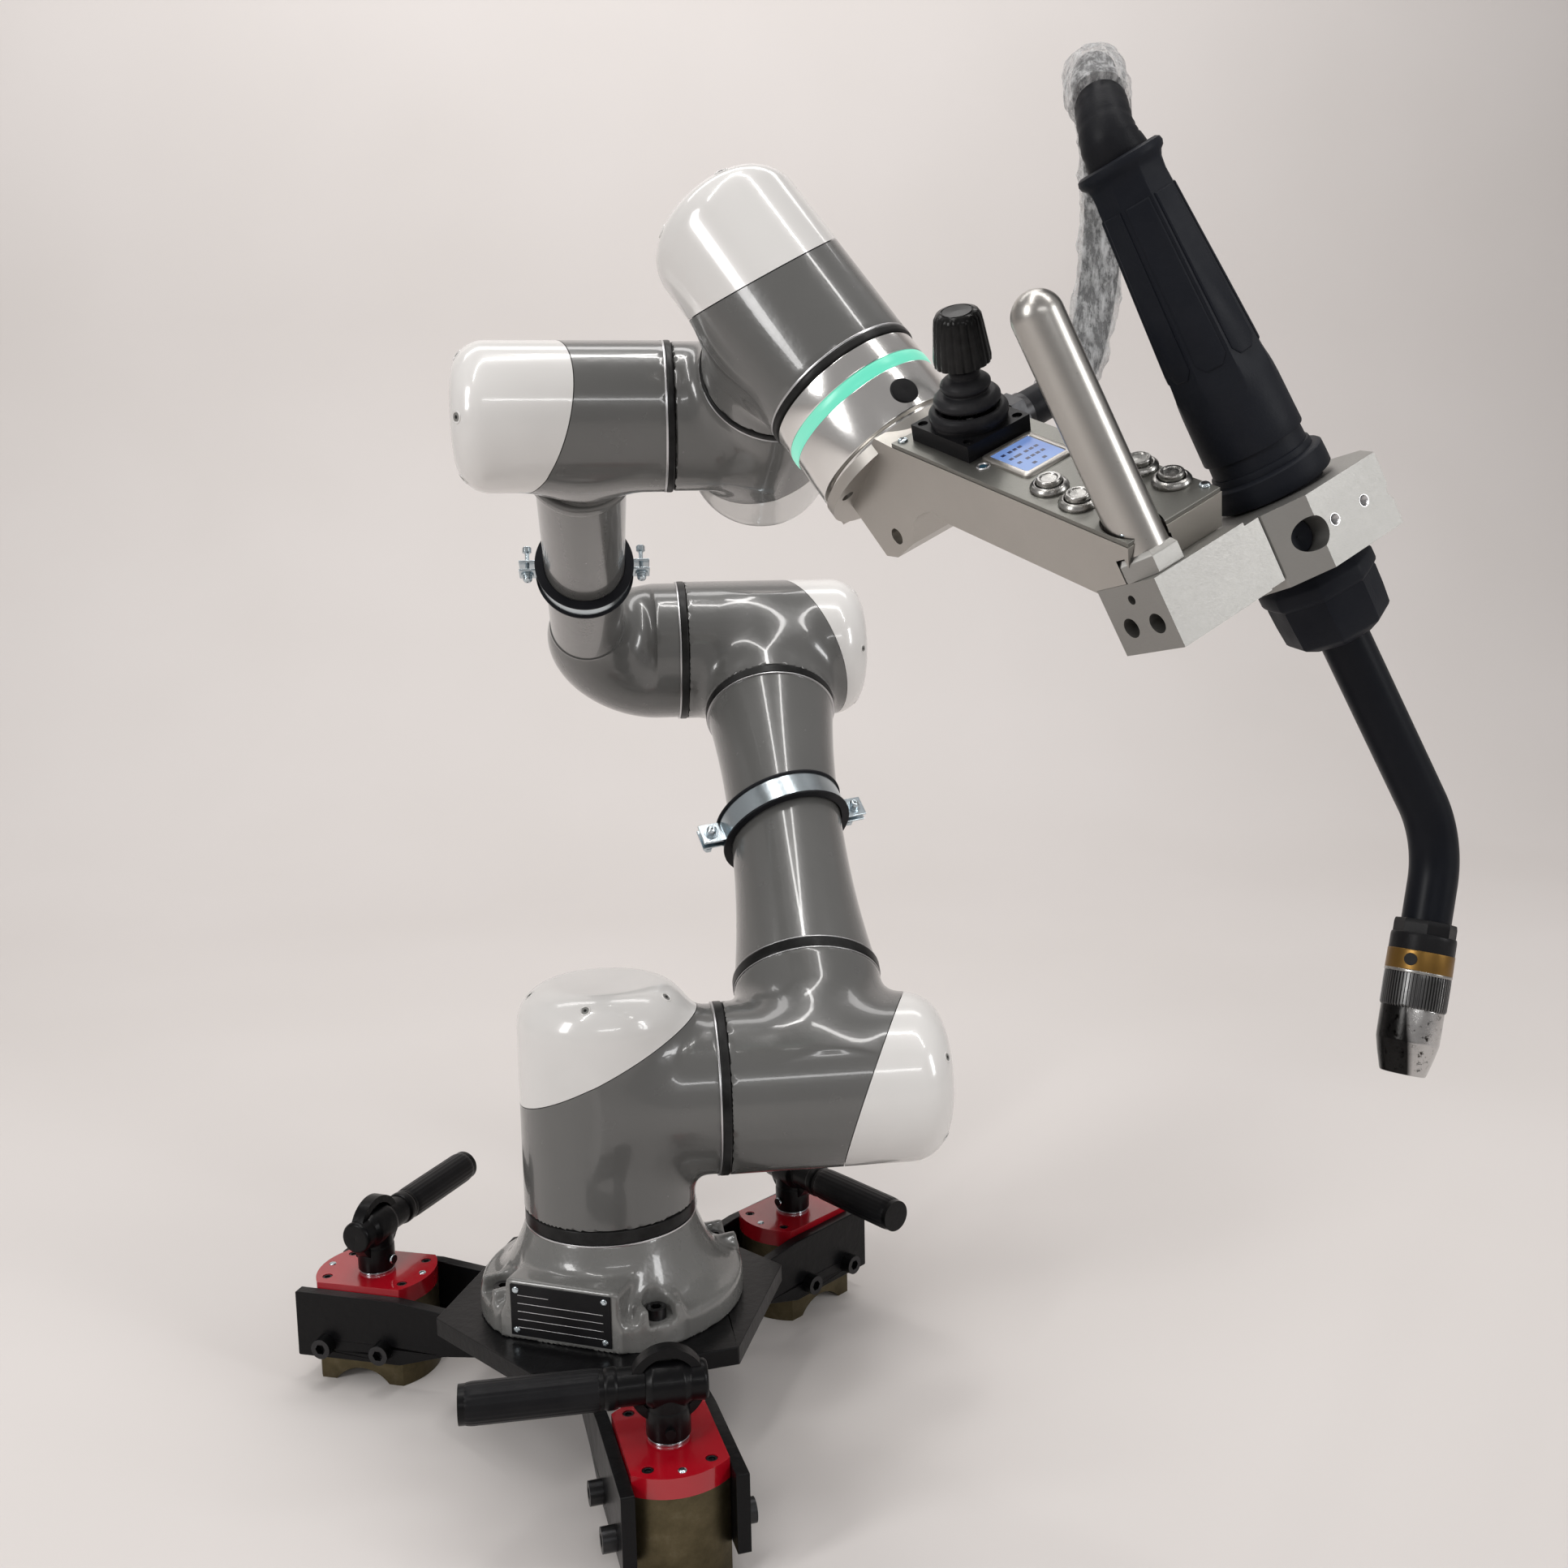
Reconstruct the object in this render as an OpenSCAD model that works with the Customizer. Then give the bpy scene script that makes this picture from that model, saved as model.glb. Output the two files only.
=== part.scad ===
// Six-axis collaborative welding arm on a tripod of switchable magnets, with a hand-guiding tool and torch.
// Frame: Z up, X along the shoulder axis at rest, Y away from the operator.
// The origin is on the first joint's axis, at the top face of the frame's plate.

/* [Arm] */
// Height of the shoulder axis above the frame's plate
shoulder_z = 139; // [130:1:150]
// Distance between the shoulder and elbow axes
upper_len = 409; // [380:1:440]
// Distance between the elbow and first wrist axes
fore_len = 402; // [370:1:430]
// Sideways distance of the upper arm from the first joint's axis
upper_side = 146; // [140:1:155]
// Sideways distance of the second wrist joint's axis
wrist_side = 109; // [106:1:115]
// Distance between the last two wrist axes
wrist_drop = 103; // [102:1:110]
// Radius of the large joint housings
big_r = 58; // [56:0.5:60]
// Radius of the small joint housings
small_r = 43; // [41:0.5:44]

/* [Pose at rest] */
// Lean of the upper arm from upright, away from the operator
upper_lean = 45.5; // [40:0.5:50]
// Lean of the forearm from upright, towards the operator
fore_lean = 68; // [60:0.5:75]
// Rise of the last link above the level
wrist_rise = 23.2; // [15:0.1:30]
// Turn of the last joint's axis
wrist_turn = -59; // [-65:1:-50]
// Roll of the tool on the last joint
tool_roll = -6.6; // [-12:0.1:0]

/* [Base] */
// Radius of the circle of magnets
foot_r = 180; // [170:1:190]
// Direction of the front magnet
front_foot = -81; // [-90:1:-70]
// Height of a magnet with its cap
magnet_h = 71; // [65:1:75]
// Width of a magnet between its flats
magnet_w = 56; // [50:1:60]
// Height of the plate's top face above the table
plate_h = 73; // [72:1:78]
// Radius of the robot's base flange
flange_r = 89; // [85:1:92]

/* [Tool] */
// Tilt of the control panel from the last joint's axis
panel_tilt = 38; // [30:1:45]
// Tilt of the torch from the last joint's axis
torch_tilt = 21.3; // [15:0.1:30]
// Length of the control panel
panel_len = 152; // [145:1:160]
// Width of the control panel
panel_w = 55; // [52:1:60]
// Thickness of the bracket behind the panel
beam_t = 29; // [24:1:32]
// Radius of the grip rod
rod_r = 11; // [9:0.5:12]
// Radius of the torch handle
handle_r = 19; // [17:0.5:20]
// Bend of the torch neck
neck_bend = 45.3; // [30:0.1:50]

/* [Hidden] */
$fn = 96;

paint_grey = [0.45, 0.45, 0.44];
cast_grey = [0.62, 0.62, 0.59];
cap_white = [0.88, 0.88, 0.86];
seal_black = [0.05, 0.05, 0.05];
frame_black = [0.08, 0.08, 0.085];
magnet_red = [0.75, 0.03, 0.05];
aluminium = [0.72, 0.71, 0.69];
steel = [0.6, 0.6, 0.6];
plastic_black = [0.05, 0.05, 0.055];
brass = [0.7, 0.5, 0.22];

feet = [for (k = [0:2]) front_foot - 120 * k]; // front, left, right
wall = 5;               // thickness of the joint housings
gap = 0.3;              // clearance between two bodies
big_seal = 6;           // thickness of the large seal rings
small_seal = 4;         // thickness of the small seal rings
big_front = 66;         // large housing, from its centre to its seal
big_back = 86;          // large housing, from its centre to the end of its cap
small_front = 48;       // small housing, from its centre to its seal
small_back = 73;        // small housing, from its centre to the end of its cap
seam_tilt = 26;         // tilt of the joint between a housing and its cap
neck_v = 76;            // large housing, from its centre to the end of its branch
collar_t = 8;           // black collars at the ends of the upper tube
fore_tube_r = 29;       // radius of the forearm tube
base_seal_z = 58;       // underside of the first joint's seal ring
base_seal_t = 9;
side = magnet_w / 2;
leg_t = 8;              // thickness of a leg plate
plate_t = 12;           // thickness of the frame's plate
bolt_r = 77;            // circle of the base bolts
bolt_dirs = [-70, 20, 110, 200];
lever_z = 103;          // height of a lever's bar
cap_t = 12;             // thickness of a magnet's cap
flange_z = 52 + gap;    // start of the tool, along the last joint's axis
sleeve_end = 94;        // end of the tool sleeve
bracket_z = 97;         // the bracket's flange, inner face
panel_corner = [-panel_w / 2, 45, 107.5];
block_drop = 92;        // from the panel's corner to the end block, along the torch
block = [52, 38, 31];   // end block: across, out, along the torch
block_e = 100;
rod_at = [13, 123];     // grip rod's axis on the end block
counterbore = [0.5, 134]; // screw hole in the gusset's side
rod_len = 112;
torch_at = [94, 112];   // clamp's axis beyond the end block
torch_shift = 4.2;      // torch's axis beside the clamp's
torch_lean = [2.5, 4.6]; // the torch sits at a slight lean in its clamp
clamp_z = [2, 35];      // clamp, along the torch
handle_len = 152;       // from the clamp to the rear end of the handle
collar_r = 26;
neck_r = 11;
neck_straight = 166.5;    // from the clamp's top to the start of the neck's bend
neck_bend_r = 52;
neck_end = 28;          // from the end of the bend to the nozzle
nozzle_len = 62;
stick_at = [27.5, 27];  // joystick: across and along the panel
stick_base = [38, 8, 40];
stick_pivot = 14;       // height of the joystick's pivot above the panel
boot_r = 15;            // radius of the joystick boot's moving dome
pin_r = 0.9;            // the gimbal's pins
button_at = [[14, 93], [12, 112.5], [48, 112.5], [47, 132]];
bezel_r = 8.6;
button_r = 5.6;
screen_at = [28.5, 64]; // screen's centre: across and along the panel
screen_size = [23, 24];

// The torch hose's centre line, from the rear of the torch handle to the coupling behind the panel
hose_r = 9.5;
hose_route = [
  [223.83, -347.67, 648.22], [219.4, -348.33, 655.9], [217.6, -341.5, 669.5], [223, -321.2, 686.6],
  [230.7, -299, 697.4], [240.3, -275.2, 702.3], [249.7, -253.9, 699.8], [257, -236, 689.5],
  [262, -225, 672], [264, -219, 650], [263, -216.5, 627], [259, -217.5, 605], [252.5, -221.5, 586],
  [242, -229, 573.5], [232.5, -236, 567.5], [222.2, -242.8, 562.1], [214.8, -245.5, 558.4]
];

module at_shoulder() translate([0, 0, shoulder_z]) rotate([180, 0, 0]) children();
module at_upper() translate([upper_side, 0, shoulder_z]) rotate([-upper_lean, 0, 0]) children();
module at_elbow() at_upper() translate([0, 0, upper_len]) children();
module at_fore()
  translate([0, upper_len * sin(upper_lean), shoulder_z + upper_len * cos(upper_lean)])
    rotate([fore_lean, 0, 0]) children();
module at_wrist_1() at_fore() translate([0, 0, fore_len]) children();
module at_wrist_2()
  translate([wrist_side,
             upper_len * sin(upper_lean) - fore_len * sin(fore_lean),
             shoulder_z + upper_len * cos(upper_lean) + fore_len * cos(fore_lean)])
    rotate([90 - wrist_rise, 0, 0]) children();
module at_wrist_3() at_wrist_2() translate([0, 0, wrist_drop]) rotate([0, 0, wrist_turn]) rotate([90, 0, 90]) children();
module at_tool() at_wrist_3() rotate([0, 0, tool_roll]) children();
module at_panel() at_tool() translate(panel_corner) rotate([-panel_tilt, 0, 0]) children();
module at_block() at_tool() translate(panel_corner) rotate([torch_tilt, 0, 0]) translate([0, 0, block_drop]) children();
module at_clamp() at_block() translate([torch_at[0], torch_at[1], 0]) children();
module at_torch() at_clamp() translate([torch_shift, 0, 0]) rotate([torch_lean[0], torch_lean[1], 0]) children();
module on_floor() translate([0, 0, -plate_h]) children();
module at_foot(k) on_floor() rotate([0, 0, feet[k]]) translate([foot_r, 0, 0]) children();
module at_lever(k) at_foot(k) rotate([0, 0, -97]) children();
// A panel fitting's own frame: z leaves the panel's face
module on_panel(x, l) at_panel() translate([x, 0, l]) rotate([-90, 0, 0]) children();

// Ring with a square section
module ring(outer, inner, h) {
  difference() {
    cylinder(h = h, r = outer);
    translate([0, 0, -1]) cylinder(h = h + 2, r = inner);
  }
}

// Half space below the joint between a housing and its cap
module below_seam(seam) {
  translate([0, 0, -seam]) rotate([0, seam_tilt, 0]) translate([-200, -200, -300]) cube([400, 400, 300]);
}

// Closed round end of a joint housing, from its centre down to the end of its cap
module pod_end(r, back, round) {
  rotate_extrude()
    polygon(concat([[0, 0], [r, 0]],
                   [for (a = [0:15:90]) [r - round + round * cos(a), -back + round - round * sin(a)]],
                   [[0, -back - 2]]));
}

// Joint housing: z runs from the cap to the seal, and the branch runs along x
module pod(r, front, back, seam, branch_r, branch_len) {
  difference() {
    union() {
      cylinder(h = front, r = r);
      translate([0, 0, -back + 2]) cylinder(h = back, r = r);
      rotate([0, 90, 0]) cylinder(h = branch_len, r = branch_r);
    }
    below_seam(seam);
    translate([0, 0, -back]) cylinder(h = back + front - wall, r = r - wall);
    rotate([0, 90, 0]) cylinder(h = branch_len - wall, r = branch_r - wall);
  }
}

// The cap that closes a joint housing
module pod_cap(r, back, seam, branch_r) {
  round = r * 0.42;
  difference() {
    intersection() {
      pod_end(r, back, round);
      below_seam(seam);
    }
    translate([0, 0, -back + 16]) cylinder(h = back, r = r - wall);
    translate([0, 0, -back + 6]) cylinder(h = back, r = r * 0.6);
    rotate([0, 90, 0]) cylinder(h = 2 * r, r = branch_r);
  }
}

// Motor and gear unit inside a joint housing
module drive(r, front, back) {
  translate([0, 0, -back * 0.45]) cylinder(h = back * 0.45 + front - wall - 22, r = r - wall - 9);
  translate([0, 0, front - wall - 22]) cylinder(h = 22, r = r - wall - 1);
  translate([0, 0, -back * 0.45 - 12]) cylinder(h = 12, r = r * 0.4);
}

// Frames of the six joint housings: z to the seal, x along the branch
module frame_1() translate([0, 0, shoulder_z]) mirror([0, 0, 1]) children();
module frame_2() at_upper() rotate([0, -90, 0]) children();
module frame_3() at_elbow() rotate([0, -90, 0]) mirror([1, 0, 0]) children();
module frame_4() at_wrist_1() rotate([0, 90, 0]) children();
module frame_5() at_wrist_2() rotate([0, 0, 180]) children();
module frame_6() at_wrist_3() rotate([0, 0, -90]) children();

// ---- Base ----

module base_plate() {
  color(frame_black)
    difference() {
      translate([0, 0, -plate_t]) linear_extrude(plate_t)
        difference() {
          polygon([for (f = feet, s = [31, -31]) 120 * [cos(f + s), sin(f + s)]]);
          circle(r = 30);
          for (a = bolt_dirs) translate(bolt_r * [cos(a), sin(a)]) circle(r = 4.25);
        }
    }
}

module leg_outline() {
  polygon([[70, plate_h - plate_t], [108, plate_h - plate_t], [146, 66], [224, 67], [224, 20], [146, 20],
           [112, 30], [70, 34]]);
}

module leg_plates() {
  color(frame_black)
    on_floor() for (f = feet, s = [-1, 1])
      rotate([0, 0, f]) translate([0, s * (side + leg_t / 2) + leg_t / 2, 0]) rotate([90, 0, 0])
        linear_extrude(leg_t)
          difference() {
            leg_outline();
            for (x = [foot_r - 22, foot_r + 22]) translate([x, 30]) circle(r = 4.2);
          }
}

// Outline of a magnet: a disc between two flats
module magnet_outline(grow) {
  intersection() {
    circle(r = 42 + grow);
    square([200, magnet_w + 2 * grow - 0.4], center = true);
  }
}

module magnets() {
  color(brass)
    for (k = [0:2]) at_foot(k)
      difference() {
        linear_extrude(magnet_h - cap_t) magnet_outline(0);
        translate([0, 50, -16]) rotate([90, 0, 0]) cylinder(h = 100, r = 26);
        for (x = [-22, 22], s = [-1, 1]) translate([x, s * side, 30]) rotate([s * 90, 0, 0])
          translate([0, 0, -1]) cylinder(h = 19, r = 4.2);
        translate([0, 0, magnet_h - cap_t - 20]) cylinder(h = 30, r = 9.4);
      }
}

module magnet_caps() {
  color(magnet_red)
    for (k = [0:2]) at_foot(k)
      difference() {
        translate([0, 0, magnet_h - cap_t]) linear_extrude(cap_t) magnet_outline(0);
        translate([0, 0, magnet_h - cap_t - 1]) cylinder(h = 30, r = 9.4);
        for (x = [-29, 29], y = [-18, 18]) translate([x, y, magnet_h - 6]) cylinder(h = 30, r = 3.5);
      }
}

// Socket-head screw with its head on z = 0 and its shank below
module socket_screw(head_r, head_h, shank_r, shank_len) {
  difference() {
    cylinder(h = head_h, r = head_r);
    translate([0, 0, head_h * 0.4]) cylinder(h = head_h, r = head_r * 0.55, $fn = 6);
  }
  translate([0, 0, -shank_len]) cylinder(h = shank_len, r = shank_r);
}

module frame_bolts() {
  color(seal_black) {
    for (k = [0:2], x = [-22, 22], s = [-1, 1]) at_foot(k)
      translate([x, s * (side + leg_t), 30]) rotate([-s * 90, 0, 0]) socket_screw(7, 8, 4, 22);
    for (a = bolt_dirs) translate([bolt_r * cos(a), bolt_r * sin(a), 14]) socket_screw(6.5, 8, 4, 24);
  }
}

base_profile = [[34, 0], [flange_r, 0], [flange_r, 20], [flange_r - 3, 24], [78, 31], [68, 40], [61, 51], [58, 58],
                [50, 58], [50, 28], [45, 12], [34, 12]];

module base_casting() {
  color(cast_grey)
      difference() {
        rotate_extrude() polygon(base_profile);
        // flat for the nameplate
        rotate([0, 0, -115.5]) translate([79, -100, -1]) cube([100, 200, 20]);
        for (a = bolt_dirs) translate([bolt_r * cos(a), bolt_r * sin(a), -1]) {
          cylinder(h = 20, r = 4.25);
          translate([0, 0, 15]) cylinder(h = 50, r = 8.5);
        }
        rotate([0, 0, 64]) translate([47, 0, 20]) rotate([0, 90, 0]) cylinder(h = 60, r = 12);
      }
}

// Round plug-in connector that brings in power and network
module base_connector() {
  color(steel)
    rotate([0, 0, 64]) translate([58, 0, 20]) rotate([0, 90, 0]) {
      cylinder(h = 34, r = 11.9);
      translate([0, 0, 34]) cylinder(h = 14, r = 14);
      translate([0, 0, 48]) cylinder(h = 10, r = 9);
    }
}

module base_drive() {
  color(steel) {
    translate([0, 0, 12]) ring(44.5, 12, 16);
    translate([0, 0, 28]) ring(49.5, 12, 24);
  }
}

module base_seal() {
  color(seal_black)
    translate([0, 0, base_seal_z]) ring(57.6, 50, base_seal_t);
}

// Magnet lever: shaft, cross bar, carrying ring and grip
module lever(k) {
  color(frame_black)
    at_lever(k) {
      translate([0, 0, magnet_h - 18]) cylinder(h = 28, r = 9);
      translate([0, 0, magnet_h + 3]) cylinder(h = lever_z - magnet_h - 3, r = 12.5);
      translate([-22, 0, lever_z]) rotate([0, 90, 0]) cylinder(h = 58, r = 10.5);
      translate([0, 4.5, lever_z]) rotate([90, 0, 0]) ring(22, 17, 9);
      translate([36, 0, lever_z]) rotate([0, 90, 0]) cylinder(h = 80, r = 11);
      translate([0, 15.5, magnet_h + 9]) rotate([90, 0, 0]) cylinder(h = 31, r = 3);
    }
}
module lever_front() lever(0);
module lever_left() lever(1);
module lever_right() lever(2);

// ---- Shoulder ----

shoulder_front = shoulder_z - base_seal_z - base_seal_t - gap;
shoulder_back = 79;
shoulder_seam = 28;
shoulder_branch = upper_side - big_front - big_seal - gap;

module shoulder_housing()
  color(paint_grey) frame_1() pod(big_r, shoulder_front, shoulder_back, shoulder_seam, big_r - 1, shoulder_branch);
module shoulder_cap()
  color(cap_white) frame_1() pod_cap(big_r, shoulder_back, shoulder_seam, big_r - 1);
module shoulder_seal()
  color(seal_black)
    translate([shoulder_branch, 0, shoulder_z]) rotate([0, 90, 0]) ring(big_r + 0.4, 40, big_seal);

// ---- Upper arm ----

big_seam = 38;
module upper_housing() color(paint_grey) frame_2() pod(big_r, big_front, big_back, big_seam, 53, neck_v);
module upper_cap() color(cap_white) frame_2() pod_cap(big_r, big_back, big_seam, 53);
module elbow_housing() color(paint_grey) frame_3() pod(big_r, big_front, big_back, big_seam, 53, neck_v - 8);
module elbow_cap() color(cap_white) frame_3() pod_cap(big_r, big_back, big_seam, 53);
module upper_drives() {
  color(steel) {
    frame_2() drive(big_r, big_front, big_back);
    frame_3() drive(big_r, big_front, big_back);
  }
}

tube_lo = neck_v + collar_t;
tube_hi = upper_len - neck_v + 8 - collar_t;
// Outer radius of the upper tube: waisted in the middle
function tube_r(v) = 43.5 + 8.5 * pow(abs(2 * (v - tube_lo) / (tube_hi - tube_lo) - 1), 2.2);

module upper_tube() {
  color(paint_grey)
    at_upper()
      rotate_extrude()
        polygon(concat([for (i = [0:16]) let (v = tube_lo + (tube_hi - tube_lo) * i / 16) [tube_r(v), v]],
                       [[38, tube_hi], [38, tube_lo]]));
}

module upper_collars() {
  color(seal_black)
    at_upper() {
      translate([0, 0, neck_v]) ring(53.6, 38, collar_t);
      translate([0, 0, tube_hi]) ring(53.6, 38, collar_t);
    }
}

upper_clamp_v = 212;
module upper_clamp() {
  color(aluminium)
    at_upper() translate([0, 0, upper_clamp_v]) rotate([0, 0, 12])
      difference() {
        union() {
          cylinder(h = 24, r = 50);
          for (s = [-1, 1]) translate([s * 54, 0, 12]) cube([20, 18, 24], center = true);
        }
        translate([0, 0, -1]) cylinder(h = 26, r = 44.2);
        for (s = [-1, 1]) translate([s * 58, 20, 12]) rotate([90, 0, 0]) cylinder(h = 40, r = 3.2);
      }
}

// ---- Forearm ----

bend_from = upper_side - big_front - big_seal - gap - 8;
bend_r = 62;
// Centre and radius of the elbow's bend at step t from 0 to 1
function bend_at(t) = let (a = 90 * t) [bend_from - 12 - bend_r * sin(a) * 0.9, 0, bend_r * (1 - cos(a))];
function bend_radius(t) = big_r - 1 - (big_r - fore_tube_r - 5) * pow(t, 1.3);

module bend_disc(t)
  translate(bend_at(t)) rotate([0, 90 - 90 * t, 0]) cylinder(h = 1, r = bend_radius(t), center = true, $fn = 40);

module elbow_bend() {
  color(paint_grey)
    at_fore() {
      translate([bend_from - 12, 0, 0]) rotate([0, 90, 0]) cylinder(h = 20, r = big_r - 1);
      for (i = [0:6]) hull() {
        bend_disc(i / 7);
        bend_disc((i + 1) / 7);
      }
    }
}

fore_x = bend_at(1)[0];
fore_lo = bend_r;
fore_hi = fore_len - 56;
module fore_tube() {
  color(paint_grey)
    at_fore() translate([0, 0, fore_lo + 0.6]) translate([fore_x, 0, 0]) ring(fore_tube_r, 24, fore_hi - fore_lo - 0.6);
}

module forearm_seals() {
  color(seal_black) {
    at_fore() translate([bend_from + 8, 0, 0]) rotate([0, 90, 0]) ring(big_r + 0.4, 40, big_seal);
    frame_4() translate([0, 0, small_front]) ring(small_r + 0.3, 30, small_seal);
  }
}

small_seam = 24;
module wrist_housing_1() {
  color(paint_grey)
    frame_4_fore() pod(small_r, small_front, small_back, small_seam, 33, fore_len - fore_hi);
}
// The first wrist housing's branch points back down the forearm
module frame_4_fore() at_wrist_1() rotate([0, 90, 0]) children();
module wrist_cap_1() color(cap_white) frame_4_fore() pod_cap(small_r, small_back, small_seam, 33);
module wrist_drive() color(steel) frame_4() drive(small_r, small_front, small_back);

fore_clamp_v = 230;
module fore_clamp() {
  color(steel)
    at_wrist_1() translate([fore_x, 0, -fore_clamp_v]) {
      difference() {
        union() {
          cylinder(h = 18, r = fore_tube_r + 5);
          for (s = [-1, 1]) translate([s * 38, 0, 9]) cube([16, 14, 18], center = true);
        }
        translate([0, 0, -1]) cylinder(h = 20, r = fore_tube_r);
      }
      for (s = [-1, 1]) translate([s * 39, -20, 9]) rotate([-90, 0, 0]) cylinder(h = 13, r = 4);
    }
}

// ---- Wrist ----

link_2 = wrist_side - small_front - small_seal - gap;
link_3 = wrist_drop - small_front - small_seal - gap;
module wrist_housing_2() color(paint_grey) frame_5() pod(small_r, small_front, small_back, small_seam, small_r - 0.5, link_2);
module wrist_cap_2() color(cap_white) frame_5() pod_cap(small_r, small_back, small_seam, small_r - 0.5);
module wrist_seal_2() color(seal_black) frame_5() translate([0, 0, small_front]) ring(small_r + 0.3, 30, small_seal);
module wrist_housing_3() color(paint_grey) frame_6() pod(small_r, small_front, small_back, small_seam, small_r - 0.5, link_3);
module wrist_cap_3() color(cap_white) frame_6() pod_cap(small_r, small_back, small_seam, small_r - 0.5);
module wrist_seal_3() color(seal_black) frame_6() translate([0, 0, small_front]) ring(small_r + 0.3, 30, small_seal);

// ---- Tool ----

module tool_flange() color(aluminium) at_tool() translate([0, 0, flange_z]) ring(small_r - 0.5, 16, 12);
module light_ring() color([0.2, 0.9, 0.75]) at_tool() translate([0, 0, flange_z + 12]) ring(small_r - 0.7, 16, 6);
module tool_sleeve() {
  color(aluminium)
    at_tool() {
      translate([0, 0, flange_z + 18]) ring(small_r - 1, 34, sleeve_end - flange_z - 18);
      translate([0, 0, sleeve_end - 8]) ring(34, 16, bracket_z - sleeve_end + 8);
    }
}

// Side outline of the bracket: the flange, the gusset with its curved underside, and the beam, as [y, z]
beam_dir = [sin(panel_tilt), cos(panel_tilt)];
beam_up = [cos(panel_tilt), -sin(panel_tilt)];
corner = [panel_corner[1], panel_corner[2]];
under = corner + 34 * beam_dir - beam_t * beam_up;
lug = [[40, 143.5], [33, 140.2], [27, 138.4], [21, 138.6], [15.5, 140.6], [9, 144], [-11, 140.5], [-19, 134.5], [-17, 103],
       [-36, 103], [-36, bracket_z], [38, bracket_z]];
bracket_side = concat(
  [corner, corner + panel_len * beam_dir, corner + panel_len * beam_dir - beam_t * beam_up, under], lug);

// Room for the grip rod and its hexagonal collar
module rod_notch() {
  at_block() translate([rod_at[0], rod_at[1], -60]) cylinder(h = 80, r = rod_r + 1);
  at_block() translate([rod_at[0], rod_at[1], -10.5]) cylinder(h = 20, r = 14.6, $fn = 6);
}

module tool_bracket() {
  color(aluminium)
    difference() {
      at_tool()
        union() {
          translate([0, 0, bracket_z]) cylinder(h = 6, r = small_r);
          translate([-panel_w / 2, 0, 0]) rotate([90, 0, 90]) linear_extrude(panel_w) polygon(bracket_side);
        }
      // room for the end block and the grip rod
      at_block() translate([-1, block_e - 0.1, -0.1]) cube(block + [12, 0.2, 0.2]);
      rod_notch();
      // pocket for the panel's electronics
      at_panel() translate([5, -beam_t + 5, 8]) cube([panel_w - 10, beam_t - 8, 78]);
      for (a = [-1, 1]) at_tool() rotate([0, 0, 90 * a]) translate([0, -36, bracket_z - 1]) cylinder(h = 30, r = 3.3);
      // counterbored screw hole across the gusset
      at_tool() translate([-29, counterbore[0], counterbore[1]]) rotate([0, 90, 0]) cylinder(h = 7, r = 4.3);
    }
}

module control_panel() {
  color([0.55, 0.56, 0.55])
    difference() {
      at_panel() translate([0.4, 0, 0.4]) cube([panel_w - 0.8, 2, panel_len - 0.8]);
      rod_notch();
      for (b = button_at) on_panel(b[0], b[1]) translate([0, 0, -1]) cylinder(h = 5, r = 7.05);
      on_panel(stick_at[0], stick_at[1]) translate([0, 0, -1]) cylinder(h = 5, r = 13);
    }
}

module joystick_base() {
  color(plastic_black)
    on_panel(stick_at[0], stick_at[1]) {
      difference() {
        union() {
          translate([-stick_base[0] / 2, -stick_base[2] / 2, 2]) cube([stick_base[0], stick_base[2], stick_base[1]]);
          translate([0, 0, 2 + stick_base[1]]) cylinder(h = 6, r = 18);
        }
        translate([0, 0, stick_pivot]) sphere(r = boot_r + 0.5);
        for (x = [-1, 1], y = [-1, 1]) translate([x * 15, y * 16, 5]) cylinder(h = 10, r = 2.4);
      }
      // pedestal with the two ears that carry the gimbal
      translate([0, 0, 2]) cylinder(h = stick_pivot - 6.2, r = 6);
      translate([0, 0, 2]) cylinder(h = 1, r = 13);
      for (s = [-1, 1])
        difference() {
          translate([s * 4.2 - 1, -1.9, stick_pivot - 5]) cube([2, 3.8, 7]);
          translate([s * 4.2 - 2, 0, stick_pivot]) rotate([0, 90, 0]) cylinder(h = 4, r = pin_r + gap);
        }
    }
}

module screen() {
  color([0.25, 0.45, 0.85])
    on_panel(screen_at[0], screen_at[1])
      translate([-screen_size[0] / 2, -screen_size[1] / 2, 2]) cube([screen_size[0], screen_size[1], 1.2]);
}

module button_bezels() {
  color(steel)
    for (b = button_at) on_panel(b[0], b[1]) {
      translate([0, 0, 2]) ring(bezel_r, button_r + gap, 3);
      ring(7, button_r + gap, 2);
    }
}

module push_button(b)
  color(steel) on_panel(b[0], b[1]) translate([0, 0, 2.4]) cylinder(h = 4.8, r = button_r);
module button_1() push_button(button_at[0]);
module button_2() push_button(button_at[1]);
module button_3() push_button(button_at[2]);
module button_4() push_button(button_at[3]);

// Cross that tips on the base's ears and carries the stick's ears
module joystick_gimbal() {
  color(steel)
    on_panel(stick_at[0], stick_at[1]) translate([0, 0, stick_pivot]) {
      cube([5.8, 5.8, 3.6], center = true);
      rotate([0, 90, 0]) cylinder(h = 10.4, r = pin_r, center = true);
      rotate([90, 0, 0]) cylinder(h = 10.4, r = pin_r, center = true);
    }
}

module joystick_boot() {
  color(plastic_black)
    on_panel(stick_at[0], stick_at[1]) translate([0, 0, stick_pivot])
      difference() {
        intersection() {
          sphere(r = boot_r);
          translate([-50, -50, -2]) cube([100, 100, 100]);
        }
        intersection() {
          sphere(r = boot_r - 2.5);
          translate([-50, -50, -5]) cube([100, 100, 16]);
        }
        cylinder(h = 50, r = 4);
      }
}

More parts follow.
